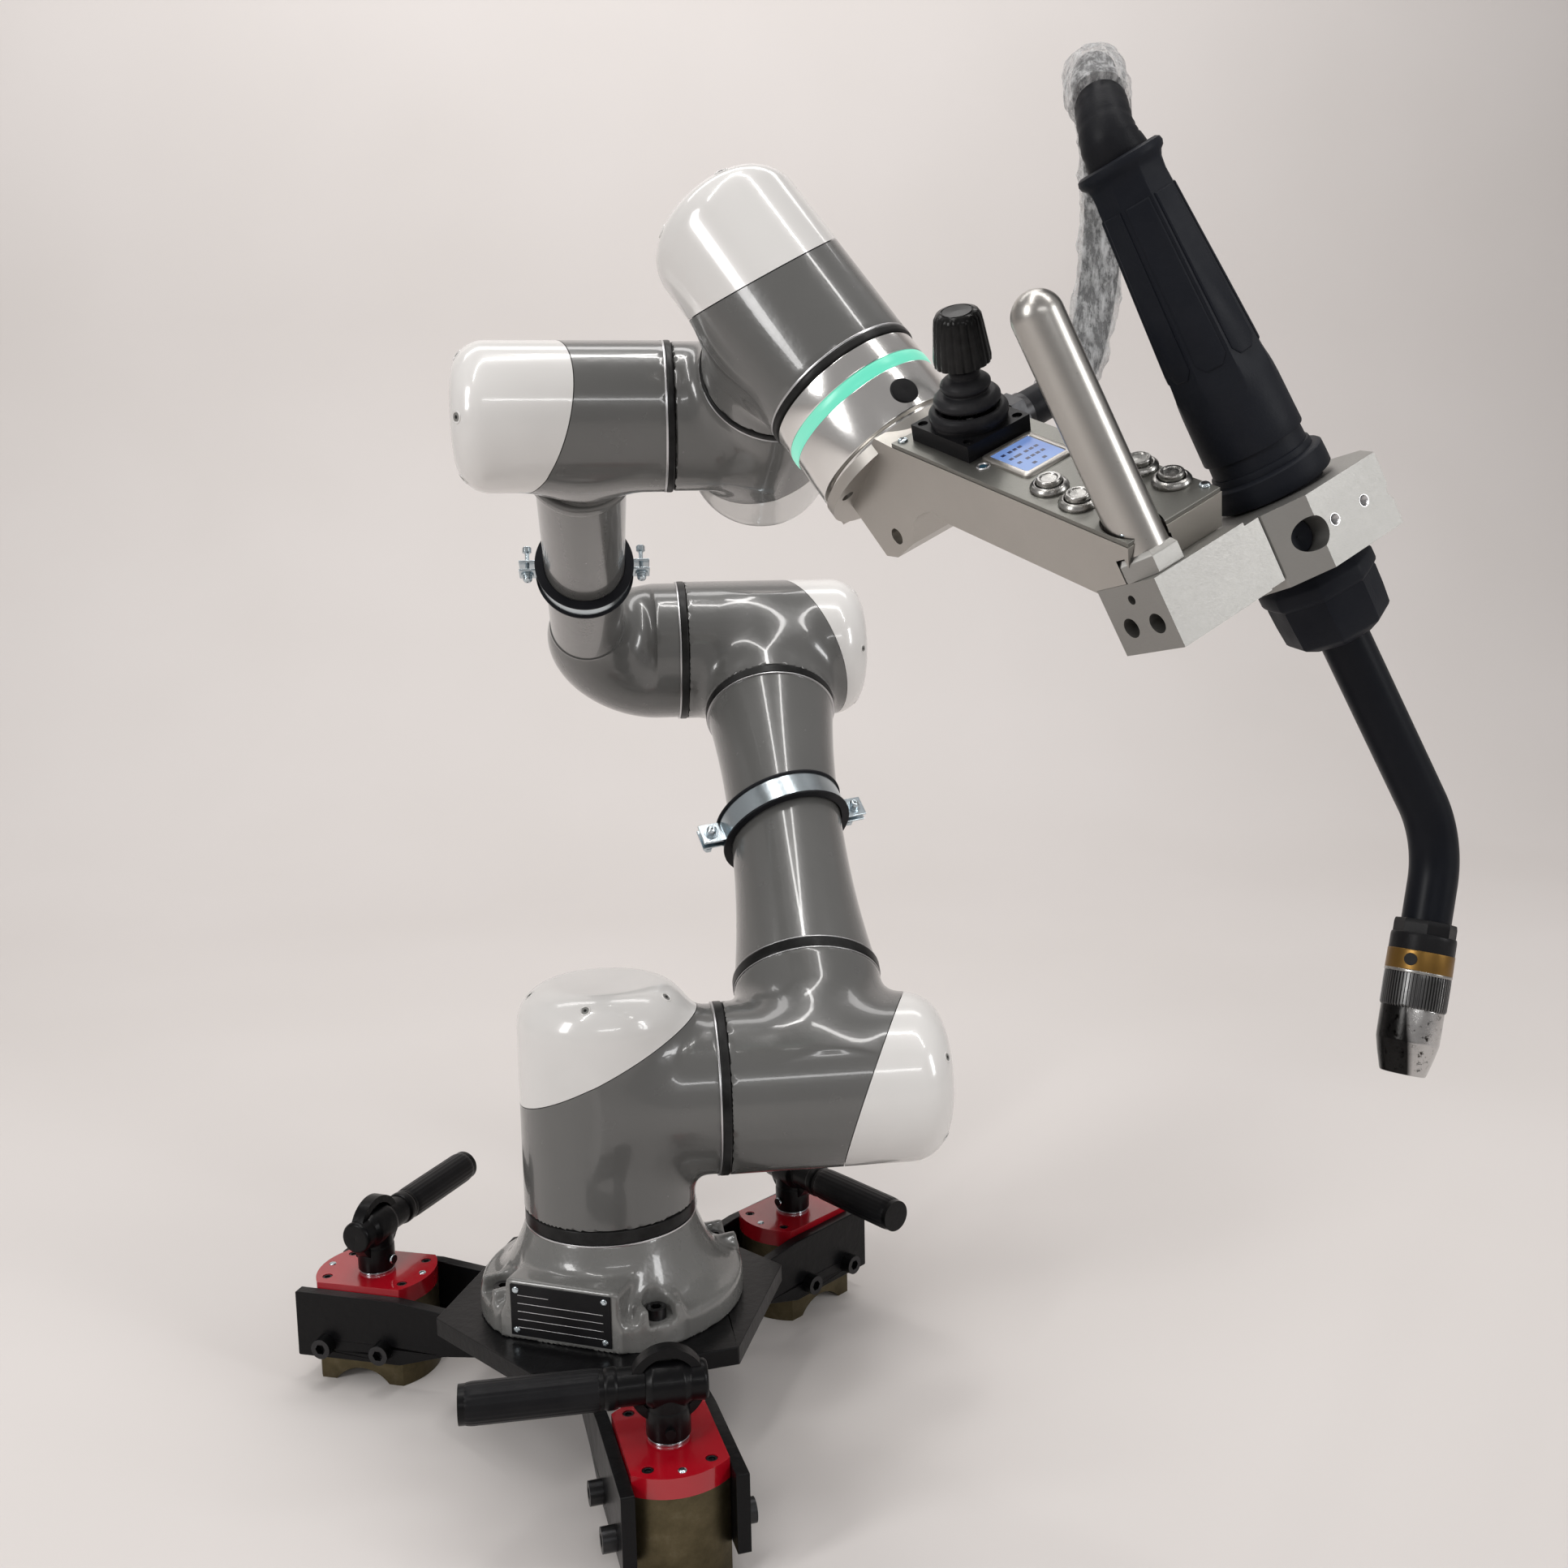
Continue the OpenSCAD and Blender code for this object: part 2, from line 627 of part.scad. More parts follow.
module joystick_knob() {
  color(plastic_black)
    on_panel(stick_at[0], stick_at[1]) translate([0, 0, stick_pivot]) {
      difference() {
        union() {
          translate([0, 0, 3.4]) cylinder(h = 26, r = 4);
          for (s = [-1, 1]) translate([-1.9, s * 4.2 - 1, -2]) cube([3.8, 2, 7]);
          translate([0, 0, 3.4]) cylinder(h = 1.6, r = 5.6);
        }
        rotate([90, 0, 0]) cylinder(h = 20, r = pin_r + gap, center = true);
      }
      translate([0, 0, 24])
        rotate_extrude()
          polygon([[0, 0], [13.4, 0], [13.6, 2], [11.4, 21], [9.5, 24], [7, 25], [0, 25]]);
    }
}

module grip_rod() {
  color(aluminium)
    at_block() translate([rod_at[0], rod_at[1], 0]) {
      translate([0, 0, -10]) cylinder(h = 10, r = 14, $fn = 6);
      translate([0, 0, -rod_len]) cylinder(h = rod_len - 10, r = rod_r);
      translate([0, 0, -rod_len]) sphere(r = rod_r);
    }
}

module end_block() {
  color(aluminium)
    at_block()
      difference() {
        translate([0, block_e, 0]) cube(block);
        for (e = [11, 28]) translate([-1, block_e + e, 19]) rotate([0, 90, 0]) cylinder(h = 20, r = 4.5);
        translate([-1, block_e + 19, 7]) rotate([0, 90, 0]) cylinder(h = 10, r = 2.1);
      }
}

module clamp_outline()
  polygon([[-36, -16], [-35.5, 12.7], [-31, 24.5], [-15.5, 36], [28, 36], [39, 19], [39, -24], [30, -36], [-16, -36]]);

module torch_clamp() {
  color(aluminium)
    difference() {
      at_clamp()
        union() {
          translate([0, 0, clamp_z[0]]) linear_extrude(clamp_z[1] - clamp_z[0]) clamp_outline();
          translate([-torch_at[0] + block[0], block_e - torch_at[1] + 2, 2]) cube([10, block[1] - 4, 29]);
        }
      at_torch() translate([0, 0, -6]) cylinder(h = 50, r = 21);
      at_clamp() {
        for (x = [-6, 12.5]) translate([x, 40, 17.5]) rotate([90, 0, 0]) cylinder(h = 14, r = 2.5);
        translate([-18, 50, 18]) rotate([90, 0, 0]) cylinder(h = 44, r = 7.2);
        translate([30.5, 50, 20]) rotate([90, 0, 0]) cylinder(h = 40, r = 4.2);
      }
    }
}

module torch_handle() {
  color(plastic_black)
    at_torch() {
      translate([0, 0, -handle_len]) cylinder(h = handle_len - 22, r = handle_r);
      translate([0, 0, -handle_len - 3]) cylinder(h = 8, r = handle_r + 0.5);
      translate([0, 0, -22]) cylinder(h = 10, r = 21.8);
      translate([0, 0, -12]) cylinder(h = 11, r = collar_r);
      translate([0, 0, -2]) cylinder(h = 39, r = 20.9);
    }
}

module torch_boot() {
  color(plastic_black)
    at_torch() translate([0, 0, 37])
      rotate_extrude()
        polygon([[0, 0], [21, 0], [25.6, 5], [25.6, 11], [23.6, 13], [22.6, 33], [17, 36.5], [neck_r + 0.2, 37.5], [0, 37.5]]);
}

// Centre line of the torch neck at distance s along it, as [across, along]
function neck_point(a) = [-neck_bend_r * (1 - cos(a)), neck_straight + neck_bend_r * sin(a)];
module at_neck_end() {
  p = neck_point(neck_bend);
  at_torch() translate([p[0], 0, p[1]]) rotate([0, -neck_bend, 0]) children();
}

module torch_neck() {
  color(plastic_black) {
    at_torch() {
      translate([0, 0, 74.6]) cylinder(h = neck_straight - 74.4, r = neck_r);
      translate([-neck_bend_r, 0, neck_straight]) rotate([90, 0, 0])
        rotate_extrude(angle = neck_bend) translate([neck_bend_r, 0]) circle(r = neck_r);
    }
    at_neck_end() translate([0, 0, -0.2]) cylinder(h = neck_end + 0.2, r = neck_r);
  }
}

module nozzle() {
  color([0.75, 0.72, 0.68])
    at_neck_end() translate([0, 0, neck_end])
      difference() {
        rotate_extrude()
          polygon([[0, 0], [14.4, 0], [14.8, 5], [14.8, 14], [14.4, 15], [14.4, 31], [13.8, 32], [13.8, 47],
                   [10, nozzle_len], [0, nozzle_len]]);
        translate([0, 0, 44]) cylinder(h = nozzle_len, r = 8.2);
      }
}

// One side ring of the hose: 10 points around point i of its route
function along(r, i) =
  let (a = r[max(i - 1, 0)], b = r[min(i + 1, len(r) - 1)]) (b - a) / norm(b - a);
function hose_ring(r, i) =
  let (t = along(r, i), n = cross(t, [1, 0, 0]), e = n / norm(n), g = cross(t, e))
    [for (k = [0:9]) r[i] + hose_r * (cos(36 * k) * e + sin(36 * k) * g)];

module torch_hose() {
  n = len(hose_route);
  points = [for (i = [0:n - 1]) each hose_ring(hose_route, i)];
  faces = concat(
    [[for (k = [0:9]) k]],
    [for (i = [0:n - 2], k = [0:9]) [i * 10 + k, (i + 1) * 10 + k, (i + 1) * 10 + (k + 1) % 10, i * 10 + (k + 1) % 10]],
    [[for (k = [9:-1:0]) (n - 1) * 10 + k]]);
  color(plastic_black) polyhedron(points, faces, convexity = 6);
}

// Coupling on the bracket's far side, where the hose is held
module hose_coupling() {
  color(brass)
    at_panel() translate([panel_w, -9, 14]) rotate([0, 90, 0]) {
      cylinder(h = 6, r = 8);
      translate([0, 0, 4]) cylinder(h = 8, r = 12, $fn = 6);
      translate([0, 0, 12]) cylinder(h = 4, r = 10);
    }
}

base_plate();
leg_plates();
magnets();
magnet_caps();
frame_bolts();
base_casting();
base_connector();
base_drive();
base_seal();
lever_left();
lever_right();
lever_front();
shoulder_housing();
shoulder_cap();
shoulder_seal();
upper_housing();
upper_cap();
upper_tube();
upper_collars();
elbow_housing();
elbow_cap();
upper_drives();
upper_clamp();
elbow_bend();
forearm_seals();
fore_tube();
wrist_housing_1();
wrist_cap_1();
wrist_drive();
fore_clamp();
wrist_housing_2();
wrist_cap_2();
wrist_seal_2();
wrist_housing_3();
wrist_cap_3();
wrist_seal_3();
tool_flange();
light_ring();
tool_sleeve();
tool_bracket();
control_panel();
joystick_base();
screen();
button_bezels();
grip_rod();
end_block();
torch_clamp();
torch_handle();
torch_boot();
torch_neck();
nozzle();
torch_hose();
hose_coupling();
joystick_gimbal();
joystick_boot();
joystick_knob();
button_1();
button_2();
button_3();
button_4();
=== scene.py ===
# A collaborative welding arm on a tripod of switchable magnets, with its hand-guiding tool and torch.
# Lengths below are in millimetres, and each mesh is scaled to metres as it is made.
import bpy
import bmesh
import math
import numpy as np
from mathutils import Matrix, Vector


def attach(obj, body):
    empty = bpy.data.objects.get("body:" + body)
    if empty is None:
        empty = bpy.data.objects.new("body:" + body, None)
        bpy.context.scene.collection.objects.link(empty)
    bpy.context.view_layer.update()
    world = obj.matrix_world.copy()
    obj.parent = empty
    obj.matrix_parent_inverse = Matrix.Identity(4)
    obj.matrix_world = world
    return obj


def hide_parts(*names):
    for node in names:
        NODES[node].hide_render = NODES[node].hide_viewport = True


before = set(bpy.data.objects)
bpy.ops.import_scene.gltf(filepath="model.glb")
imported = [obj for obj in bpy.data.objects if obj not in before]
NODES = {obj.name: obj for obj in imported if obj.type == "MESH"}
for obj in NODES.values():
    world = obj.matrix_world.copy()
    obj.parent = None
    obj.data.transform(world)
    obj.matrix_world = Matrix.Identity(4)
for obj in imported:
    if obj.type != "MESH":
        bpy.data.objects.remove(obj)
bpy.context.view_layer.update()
MM = 0.001


def add_object(name, data):
    """A new object in the scene."""
    ob = bpy.data.objects.new(name, data)
    bpy.context.scene.collection.objects.link(ob)
    return ob


# -------- frames of the arm's links


def T(x, y, z):
    return Matrix.Translation((x, y, z))


def R(axis, degrees):
    return Matrix.Rotation(math.radians(degrees), 4, axis)


SHOULDER_Z, UPPER_LEN, FORE_LEN = 139, 409, 402
UPPER_SIDE, WRIST_SIDE, WRIST_DROP = 146, 109, 103
UPPER_LEAN, FORE_LEAN, WRIST_RISE, WRIST_TURN, TOOL_ROLL = 45.5, 68, 23.2, -59, -6.6
BIG_R, SMALL_R = 58, 43
CORNERS = [(-1, -1), (-1, 1), (1, -1), (1, 1)]
sin, cos, rad = math.sin, math.cos, math.radians
ELBOW_Y = UPPER_LEN * sin(rad(UPPER_LEAN))
ELBOW_Z = SHOULDER_Z + UPPER_LEN * cos(rad(UPPER_LEAN))
UPPER = T(UPPER_SIDE, 0, SHOULDER_Z) @ R("X", -UPPER_LEAN)
ELBOW = UPPER @ T(0, 0, UPPER_LEN)
FORE = T(0, ELBOW_Y, ELBOW_Z) @ R("X", FORE_LEAN)
WRIST_1 = FORE @ T(0, 0, FORE_LEN)
WRIST_2 = (
    T(WRIST_SIDE, ELBOW_Y - FORE_LEN * sin(rad(FORE_LEAN)), ELBOW_Z + FORE_LEN * cos(rad(FORE_LEAN)))
    @ R("X", 90 - WRIST_RISE)
)
WRIST_3 = WRIST_2 @ T(0, 0, WRIST_DROP) @ R("Z", WRIST_TURN) @ R("Z", 90) @ R("X", 90)
TOOL = WRIST_3 @ R("Z", TOOL_ROLL)
PANEL_CORNER = TOOL @ T(-27.5, 45, 107.5)
PANEL = PANEL_CORNER @ R("X", -38)
BLOCK = PANEL_CORNER @ R("X", 21.3) @ T(0, 0, 92)
CLAMP = BLOCK @ T(94, 112, 0)
TORCH = CLAMP @ T(4.2, 0, 0) @ R("Y", 4.6) @ R("X", 2.5)


def on_panel(x, along):
    return PANEL @ T(x, 0, along) @ R("X", -90)


# -------- camera

# the camera's place, and the directions of its right, down and forward axes
EYE = Vector((1.42, -949.2, 473.35)) * MM
RIGHT = Vector((0.99110, -0.13167, -0.01974))
DOWN = Vector((-0.03674, -0.12800, -0.99109))
FORWARD = Vector((0.12797, 0.98299, -0.13171))
SENSOR_WIDTH, LENS = 36, 33.1677  # millimetres
cam_data = bpy.data.cameras.new("camera")
cam = add_object("camera", cam_data)
cam.matrix_world = Matrix.Translation(EYE) @ Matrix((RIGHT, -DOWN, -FORWARD)).transposed().to_4x4()
cam_data.sensor_width = SENSOR_WIDTH
cam_data.lens = LENS
cam_data.clip_start = 0.02
cam_data.clip_end = 50
bpy.context.scene.camera = cam

# -------- materials


def socket(node, name, value):
    node.inputs[name].default_value = value


class Nodes:
    """A material's node tree, with short calls for what the materials below share."""

    def __init__(self, name, color, rough, metal=0.0, **sockets):
        self.mat = bpy.data.materials.new(name)
        self.mat.use_nodes = True
        self.tree = self.mat.node_tree
        self.bsdf = self.tree.nodes["Principled BSDF"]
        socket(self.bsdf, "Base Color", (*color, 1))
        socket(self.bsdf, "Roughness", rough)
        socket(self.bsdf, "Metallic", metal)
        for key, value in sockets.items():
            socket(self.bsdf, key.replace("_", " "), value)
        self.coord = self.add("ShaderNodeTexCoord").outputs["Object"]

    def add(self, kind, **props):
        node = self.tree.nodes.new(kind)
        for key, value in props.items():
            setattr(node, key, value)
        return node

    def link(self, a, b):
        self.tree.links.new(a, b)

    def noise(self, scale, detail=3.0, rough=0.55, stretch=(1, 1, 1)):
        mapping = self.add("ShaderNodeMapping")
        socket(mapping, "Scale", stretch)
        self.link(self.coord, mapping.inputs["Vector"])
        node = self.add("ShaderNodeTexNoise")
        socket(node, "Scale", scale)
        socket(node, "Detail", detail)
        socket(node, "Roughness", rough)
        self.link(mapping.outputs[0], node.inputs["Vector"])
        return node.outputs["Fac"]

    def ramp(self, fac, stops):
        node = self.add("ShaderNodeValToRGB")
        ramp = node.color_ramp
        while len(ramp.elements) < len(stops):
            ramp.elements.new(0.5)
        for element, (place, color) in zip(ramp.elements, stops):
            element.position = place
            element.color = (*color, 1) if len(color) == 3 else color
        self.link(fac, node.inputs["Fac"])
        return node.outputs["Color"]

    def vary_color(self, fac, stops):
        self.link(self.ramp(fac, stops), self.bsdf.inputs["Base Color"])

    def spread(self, fac, target, low, high, start=0.0, end=1.0):
        """Drives an input of the shader from low to high as fac goes from start to end."""
        node = self.add("ShaderNodeMapRange")
        for key, value in (("From Min", start), ("From Max", end), ("To Min", low), ("To Max", high)):
            socket(node, key, value)
        self.link(fac, node.inputs["Value"])
        self.link(node.outputs["Result"], self.bsdf.inputs[target])

    def vary_rough(self, fac, low, high):
        self.spread(fac, "Roughness", low, high)

    def bump(self, fac, strength, distance=0.001):
        node = self.add("ShaderNodeBump")
        socket(node, "Strength", strength)
        socket(node, "Distance", distance)
        self.link(fac, node.inputs["Height"])
        previous = self.bsdf.inputs["Normal"].links
        if previous:
            self.link(previous[0].from_socket, node.inputs["Normal"])
        self.link(node.outputs["Normal"], self.bsdf.inputs["Normal"])


def shade(color, k):
    return tuple(c * k for c in color)


def paint(name, color, rough=0.22, peel=0.12, coat=1.0, shine=0.5):
    """Sprayed paint: orange peel under a clear coat, slightly uneven in tone."""
    m = Nodes(name, color, rough, Coat_Weight=coat, Coat_Roughness=0.06, Coat_IOR=1.5,
              Specular_IOR_Level=shine)
    m.vary_color(m.noise(9), [(0.3, shade(color, 0.94)), (0.7, shade(color, 1.04))])
    m.vary_rough(m.noise(60, 4), rough * 0.8, rough * 1.3)
    m.bump(m.noise(170, 2), peel, 0.0006)
    m.bump(m.noise(900, 2), peel * 0.5, 0.0001)
    return m.mat


def metal(name, color, rough, grain=(1, 1, 1), grain_scale=400, scratch=0.12):
    """Machined or brushed metal: fine grain, stretched along the machining, and faint stains."""
    m = Nodes(name, color, rough, 1.0)
    m.vary_color(m.noise(14, 5), [(0.25, shade(color, 0.9)), (0.75, shade(color, 1.04))])
    m.vary_rough(m.noise(grain_scale, 4, 0.6, grain), rough * 0.75, rough * 1.35)
    m.bump(m.noise(grain_scale, 3, 0.6, grain), scratch, 0.0002)
    return m.mat


def moulded(name, color, rough, grain=0.25, scale=1400, dust=0.06):
    """Moulded plastic or rubber: fine grain, and a little dust in its tone."""
    m = Nodes(name, color, rough, Specular_IOR_Level=0.12)
    pale = tuple(c + dust * 0.5 for c in color)
    m.vary_color(m.noise(26, 6, 0.65), [(0.35, color), (0.8, pale)])
    m.vary_rough(m.noise(70, 4), rough * 0.8, min(1, rough * 1.25))
    m.bump(m.noise(scale, 2), grain, 0.0002)
    return m.mat


GREY = paint("paint_grey", (0.105, 0.105, 0.102), 0.24, 0.2, 0.6)
CAST = paint("paint_casting", (0.16, 0.16, 0.154), 0.26, 0.34, 0.6)
WHITE = paint("cap_white", (0.7, 0.69, 0.675), 0.2, 0.03, 0.6)
RED = paint("cap_red", (0.36, 0.002, 0.01), 0.22, 0.2, 0.6)
BLACK = paint("frame_black", (0.003, 0.003, 0.0035), 0.3, 0.4, 0.02, 0.16)
SEAL = moulded("seal_black", (0.006, 0.006, 0.006), 0.3, 0.1)
PLASTIC = moulded("plastic_black", (0.006, 0.006, 0.007), 0.36, 0.3, 1400, 0.015)
RUBBER = moulded("rubber_black", (0.007, 0.0075, 0.01), 0.45, 0.35, 900, 0.012)
SCREW = metal("screw_black", (0.05, 0.05, 0.052), 0.36)
ALLOY = metal("alloy_satin", (0.46, 0.44, 0.41), 0.38, (1, 1, 1), 1500, 0.05)
ALLOY_BLOCK = metal("alloy_block", (0.34, 0.335, 0.32), 0.46, (1, 1, 6), 700, 0.06)
ALLOY_TURNED = metal("alloy_turned", (0.47, 0.455, 0.43), 0.3, (1, 1, 8), 300, 0.06)
STEEL = metal("steel", (0.6, 0.6, 0.61), 0.3)
ZINC = metal("zinc", (0.55, 0.62, 0.66), 0.22, (1, 1, 1), 500, 0.2)
CHROME = metal("chrome", (0.36, 0.355, 0.34), 0.27, (1, 1, 1), 400, 0.02)
# grey for a cap screw's head: partly its own colour, partly painted shade of the white recess round it
SCREW_HEAD_AND_SHADE = moulded("screw_head_painted_shade", (0.2, 0.2, 0.19), 0.5, 0.1)
KNURL_STEEL = metal("knurl_steel", (0.13, 0.13, 0.13), 0.3)
BRASS = metal("brass", (0.62, 0.42, 0.14), 0.3)
DRIVE = metal("drive_alloy", (0.6, 0.6, 0.6), 0.4)
PANEL_GREY = metal("panel_anodised", (0.23, 0.228, 0.21), 0.45, (1, 1, 1), 1200, 0.06)
# near-black discs and bars as painted shade inside holes: screw sockets, cross recesses and the nozzle's gas
# port
PAINTED_SHADE = moulded("painted_recess_shade", (0.01, 0.01, 0.01), 0.6)
CHROME_SATIN = metal("alloy_polished", (0.86, 0.85, 0.83), 0.16, (1, 1, 6), 500, 0.06)
RUBBER_SOFT = moulded("rubber_boot", (0.009, 0.009, 0.011), 0.42, 0.2)
RUBBER_GRIP = moulded("rubber_grip", (0.007, 0.0085, 0.013), 0.5, 0.4, 700, 0.012)
KNOB = moulded("knob_black", (0.005, 0.005, 0.005), 0.2, 0.08)
NECK = moulded("neck_black", (0.004, 0.005, 0.008), 0.36, 0.1, 900, 0.006)
BRONZE = metal("bronze", (0.22, 0.125, 0.035), 0.36)
LED = moulded("indicator", (0.02, 0.06, 0.09), 0.15, 0.05)


def magnet_gold():
    """Yellow-passivated steel with its mottled tone."""
    m = Nodes("magnet_gold", (0.5, 0.4, 0.26), 0.38, 0.9)
    tones = [(0.3, (0.05, 0.04, 0.02)), (0.55, (0.11, 0.09, 0.05)), (0.75, (0.19, 0.165, 0.11))]
    m.vary_color(m.noise(22, 8, 0.7), tones)
    m.vary_rough(m.noise(50, 5), 0.25, 0.55)
    m.bump(m.noise(400, 4), 0.2, 0.0003)
    return m.mat


def glow(name, low, high, strength, scale=7):
    """A lit surface whose tone drifts along it."""
    m = Nodes(name, shade(low, 0.1), 0.3)
    tone = m.ramp(m.noise(scale, 1), [(0.35, low), (0.65, high)])
    m.link(tone, m.bsdf.inputs["Emission Color"])
    socket(m.bsdf, "Emission Strength", strength)
    return m.mat


def chrome_with_painted_reflections():
    """The nozzle's chrome, with painted reflections as dark and bright bands along it, and marked by weld
    spatter.
    """
    m = Nodes("chrome_spattered_painted_reflections", (0.8, 0.8, 0.8), 0.12, 1.0)
    spatter = m.ramp(m.noise(260, 7, 0.75), [(0.56, (0.62, 0.61, 0.6)), (0.64, (0.05, 0.045, 0.04))])
    # dark and bright bands along the nozzle: painted reflections in the base colour
    bands = m.ramp(m.noise(42, 1, 0.4, (1, 1, 0.08)), [(0.46, (0.03, 0.03, 0.03)), (0.53, (0.8, 0.8, 0.8))])
    mix = m.add("ShaderNodeMix", data_type="RGBA", blend_type="MULTIPLY")
    mix.inputs[0].default_value = 1
    m.link(spatter, mix.inputs[6])
    m.link(bands, mix.inputs[7])
    m.link(mix.outputs[2], m.bsdf.inputs["Base Color"])
    m.vary_rough(m.noise(120, 5), 0.06, 0.4)
    m.bump(m.noise(300, 5, 0.7), 0.35, 0.0004)
    return m.mat


GOLD = magnet_gold()
GLOW = glow("light_ring", (0.12, 0.8, 0.56), (0.42, 0.76, 0.6), 0.9, 7)
SCREEN = glow("screen_lit", (0.14, 0.25, 0.6), (0.22, 0.36, 0.72), 0.8, 40)
SCREEN_MARK = glow("screen_mark", (0.02, 0.05, 0.3), (0.04, 0.08, 0.4), 0.1, 40)
CHROME_PAINTED_REFLECTIONS = chrome_with_painted_reflections()

# -------- mesh tools


def smooth(mesh, sharp=None):
    """Smooth shading, with edges over sharp degrees kept crisp."""
    mesh.polygons.foreach_set("use_smooth", [True] * len(mesh.polygons))
    if sharp:
        mesh.set_sharp_from_angle(angle=rad(sharp))


def obj_from(name, verts, faces, mat, matrix=None, sharp=35):
    """A mesh object from points in millimetres, placed by matrix, with edges over sharp degrees kept crisp."""
    mesh = bpy.data.meshes.new(name)
    pts = np.asarray(verts, float)
    if matrix is not None:
        m = np.array(matrix)
        pts = pts @ m[:3, :3].T + m[:3, 3]
    mesh.from_pydata((pts * MM).tolist(), [], [tuple(int(i) for i in f) for f in faces])
    mesh.materials.append(mat)
    mesh.validate()
    bm = bmesh.new()
    bm.from_mesh(mesh)
    bmesh.ops.remove_doubles(bm, verts=bm.verts, dist=1e-6)
    bmesh.ops.recalc_face_normals(bm, faces=bm.faces)
    bm.to_mesh(mesh)
    bm.free()
    smooth(mesh, sharp)
    return add_object(name, mesh)


def finish_piece(ob, body, *replaced):
    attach(ob, body)
    if replaced:
        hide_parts(*replaced)
    return ob


def bevel(ob, width, segments=2, angle=32):
    mod = ob.modifiers.new("edges", "BEVEL")
    mod.width = width * MM
    mod.segments = segments
    mod.limit_method = "ANGLE"
    mod.angle_limit = rad(angle)
    mod.use_clamp_overlap = True
    normals = ob.modifiers.new("normals", "WEIGHTED_NORMAL")
    normals.keep_sharp = True
    return ob


def cad(node, mat, width=0.5, segments=2):
    """Keeps a CAD node's own shape, with softened edges and a finished material."""
    ob = NODES[node]
    if not ob.material_slots:
        ob.data.materials.append(mat)
    for s in ob.material_slots:
        s.material = mat
    if width:
        weld = ob.modifiers.new("weld", "WELD")
        weld.merge_threshold = 0.00002
        smooth(ob.data)
        bevel(ob, width, segments)
    return ob


def lathe(profile, steps=96, scallop=None):
    """Points and faces of a closed profile [(r, z), ...] turned about z. scallop(angle, i) scales r."""
    verts, faces = [], []
    n = len(profile)
    for k in range(steps):
        a = rad(360) * k / steps
        for i, (r, z) in enumerate(profile):
            s = scallop(a, i) if scallop else 1
            verts.append((r * s * cos(a), r * s * sin(a), z))
    for k in range(steps):
        k2 = (k + 1) % steps
        for i in range(n):
            j = (i + 1) % n
            faces.append((k * n + i, k2 * n + i, k2 * n + j, k * n + j))
    return verts, faces


def round_profile(points, radius, steps=4):
    """A closed outline [(r, z), ...] with its corners rounded."""
    out = []
    n = len(points)
    for i in range(n):
        p, a, b = (Vector(points[k % n]) for k in (i, i - 1, i + 1))
        u, v = (a - p), (b - p)
        if u.length < 1e-6 or v.length < 1e-6 or p.x < 1e-6:
            out.append(tuple(p))
            continue
        d = min(radius, u.length * 0.45, v.length * 0.45)
        u.normalize()
        v.normalize()
        start, end = p + u * d, p + v * d
        for s in range(steps + 1):
            t = s / steps
            out.append(tuple(start * (1 - t) ** 2 + p * 2 * t * (1 - t) + end * t * t))
    return out


def band(inner, outer, start, end):
    """The rectangular profile of a ring, or of a disc when inner is nearly 0."""
    return [(inner, start), (outer, start), (outer, end), (inner, end)]


def turned(name, matrix, profile, mat, radius=0.8, steps=96, scallop=None, sharp=35):
    """A solid of revolution with rounded corners."""
    verts, faces = lathe(round_profile(profile, radius), steps, scallop)
    return obj_from(name, verts, faces, mat, matrix, sharp=sharp)


def join(name, obs):
    """One object out of several, keeping their materials."""
    mats, bm = [], bmesh.new()
    for ob in obs:
        base = len(bm.faces)
        index = []
        for m in ob.data.materials:
            if m not in mats:
                mats.append(m)
            index.append(mats.index(m))
        bm.from_mesh(ob.data)
        bm.faces.ensure_lookup_table()
        for f in bm.faces[base:]:
            f.material_index = index[f.material_index]
    mesh = bpy.data.meshes.new(name)
    bm.to_mesh(mesh)
    bm.free()
    for m in mats:
        mesh.materials.append(m)
    for ob in obs:
        old = ob.data
        bpy.data.objects.remove(ob)
        bpy.data.meshes.remove(old)
    return add_object(name, mesh)


# -------- blended solids


def smin(a, b, k):
    h = np.clip(0.5 + 0.5 * (b - a) / k, 0, 1)
    return b * (1 - h) + a * h - k * h * (1 - h)


def smax(a, b, k):
    return -smin(-a, -b, k)


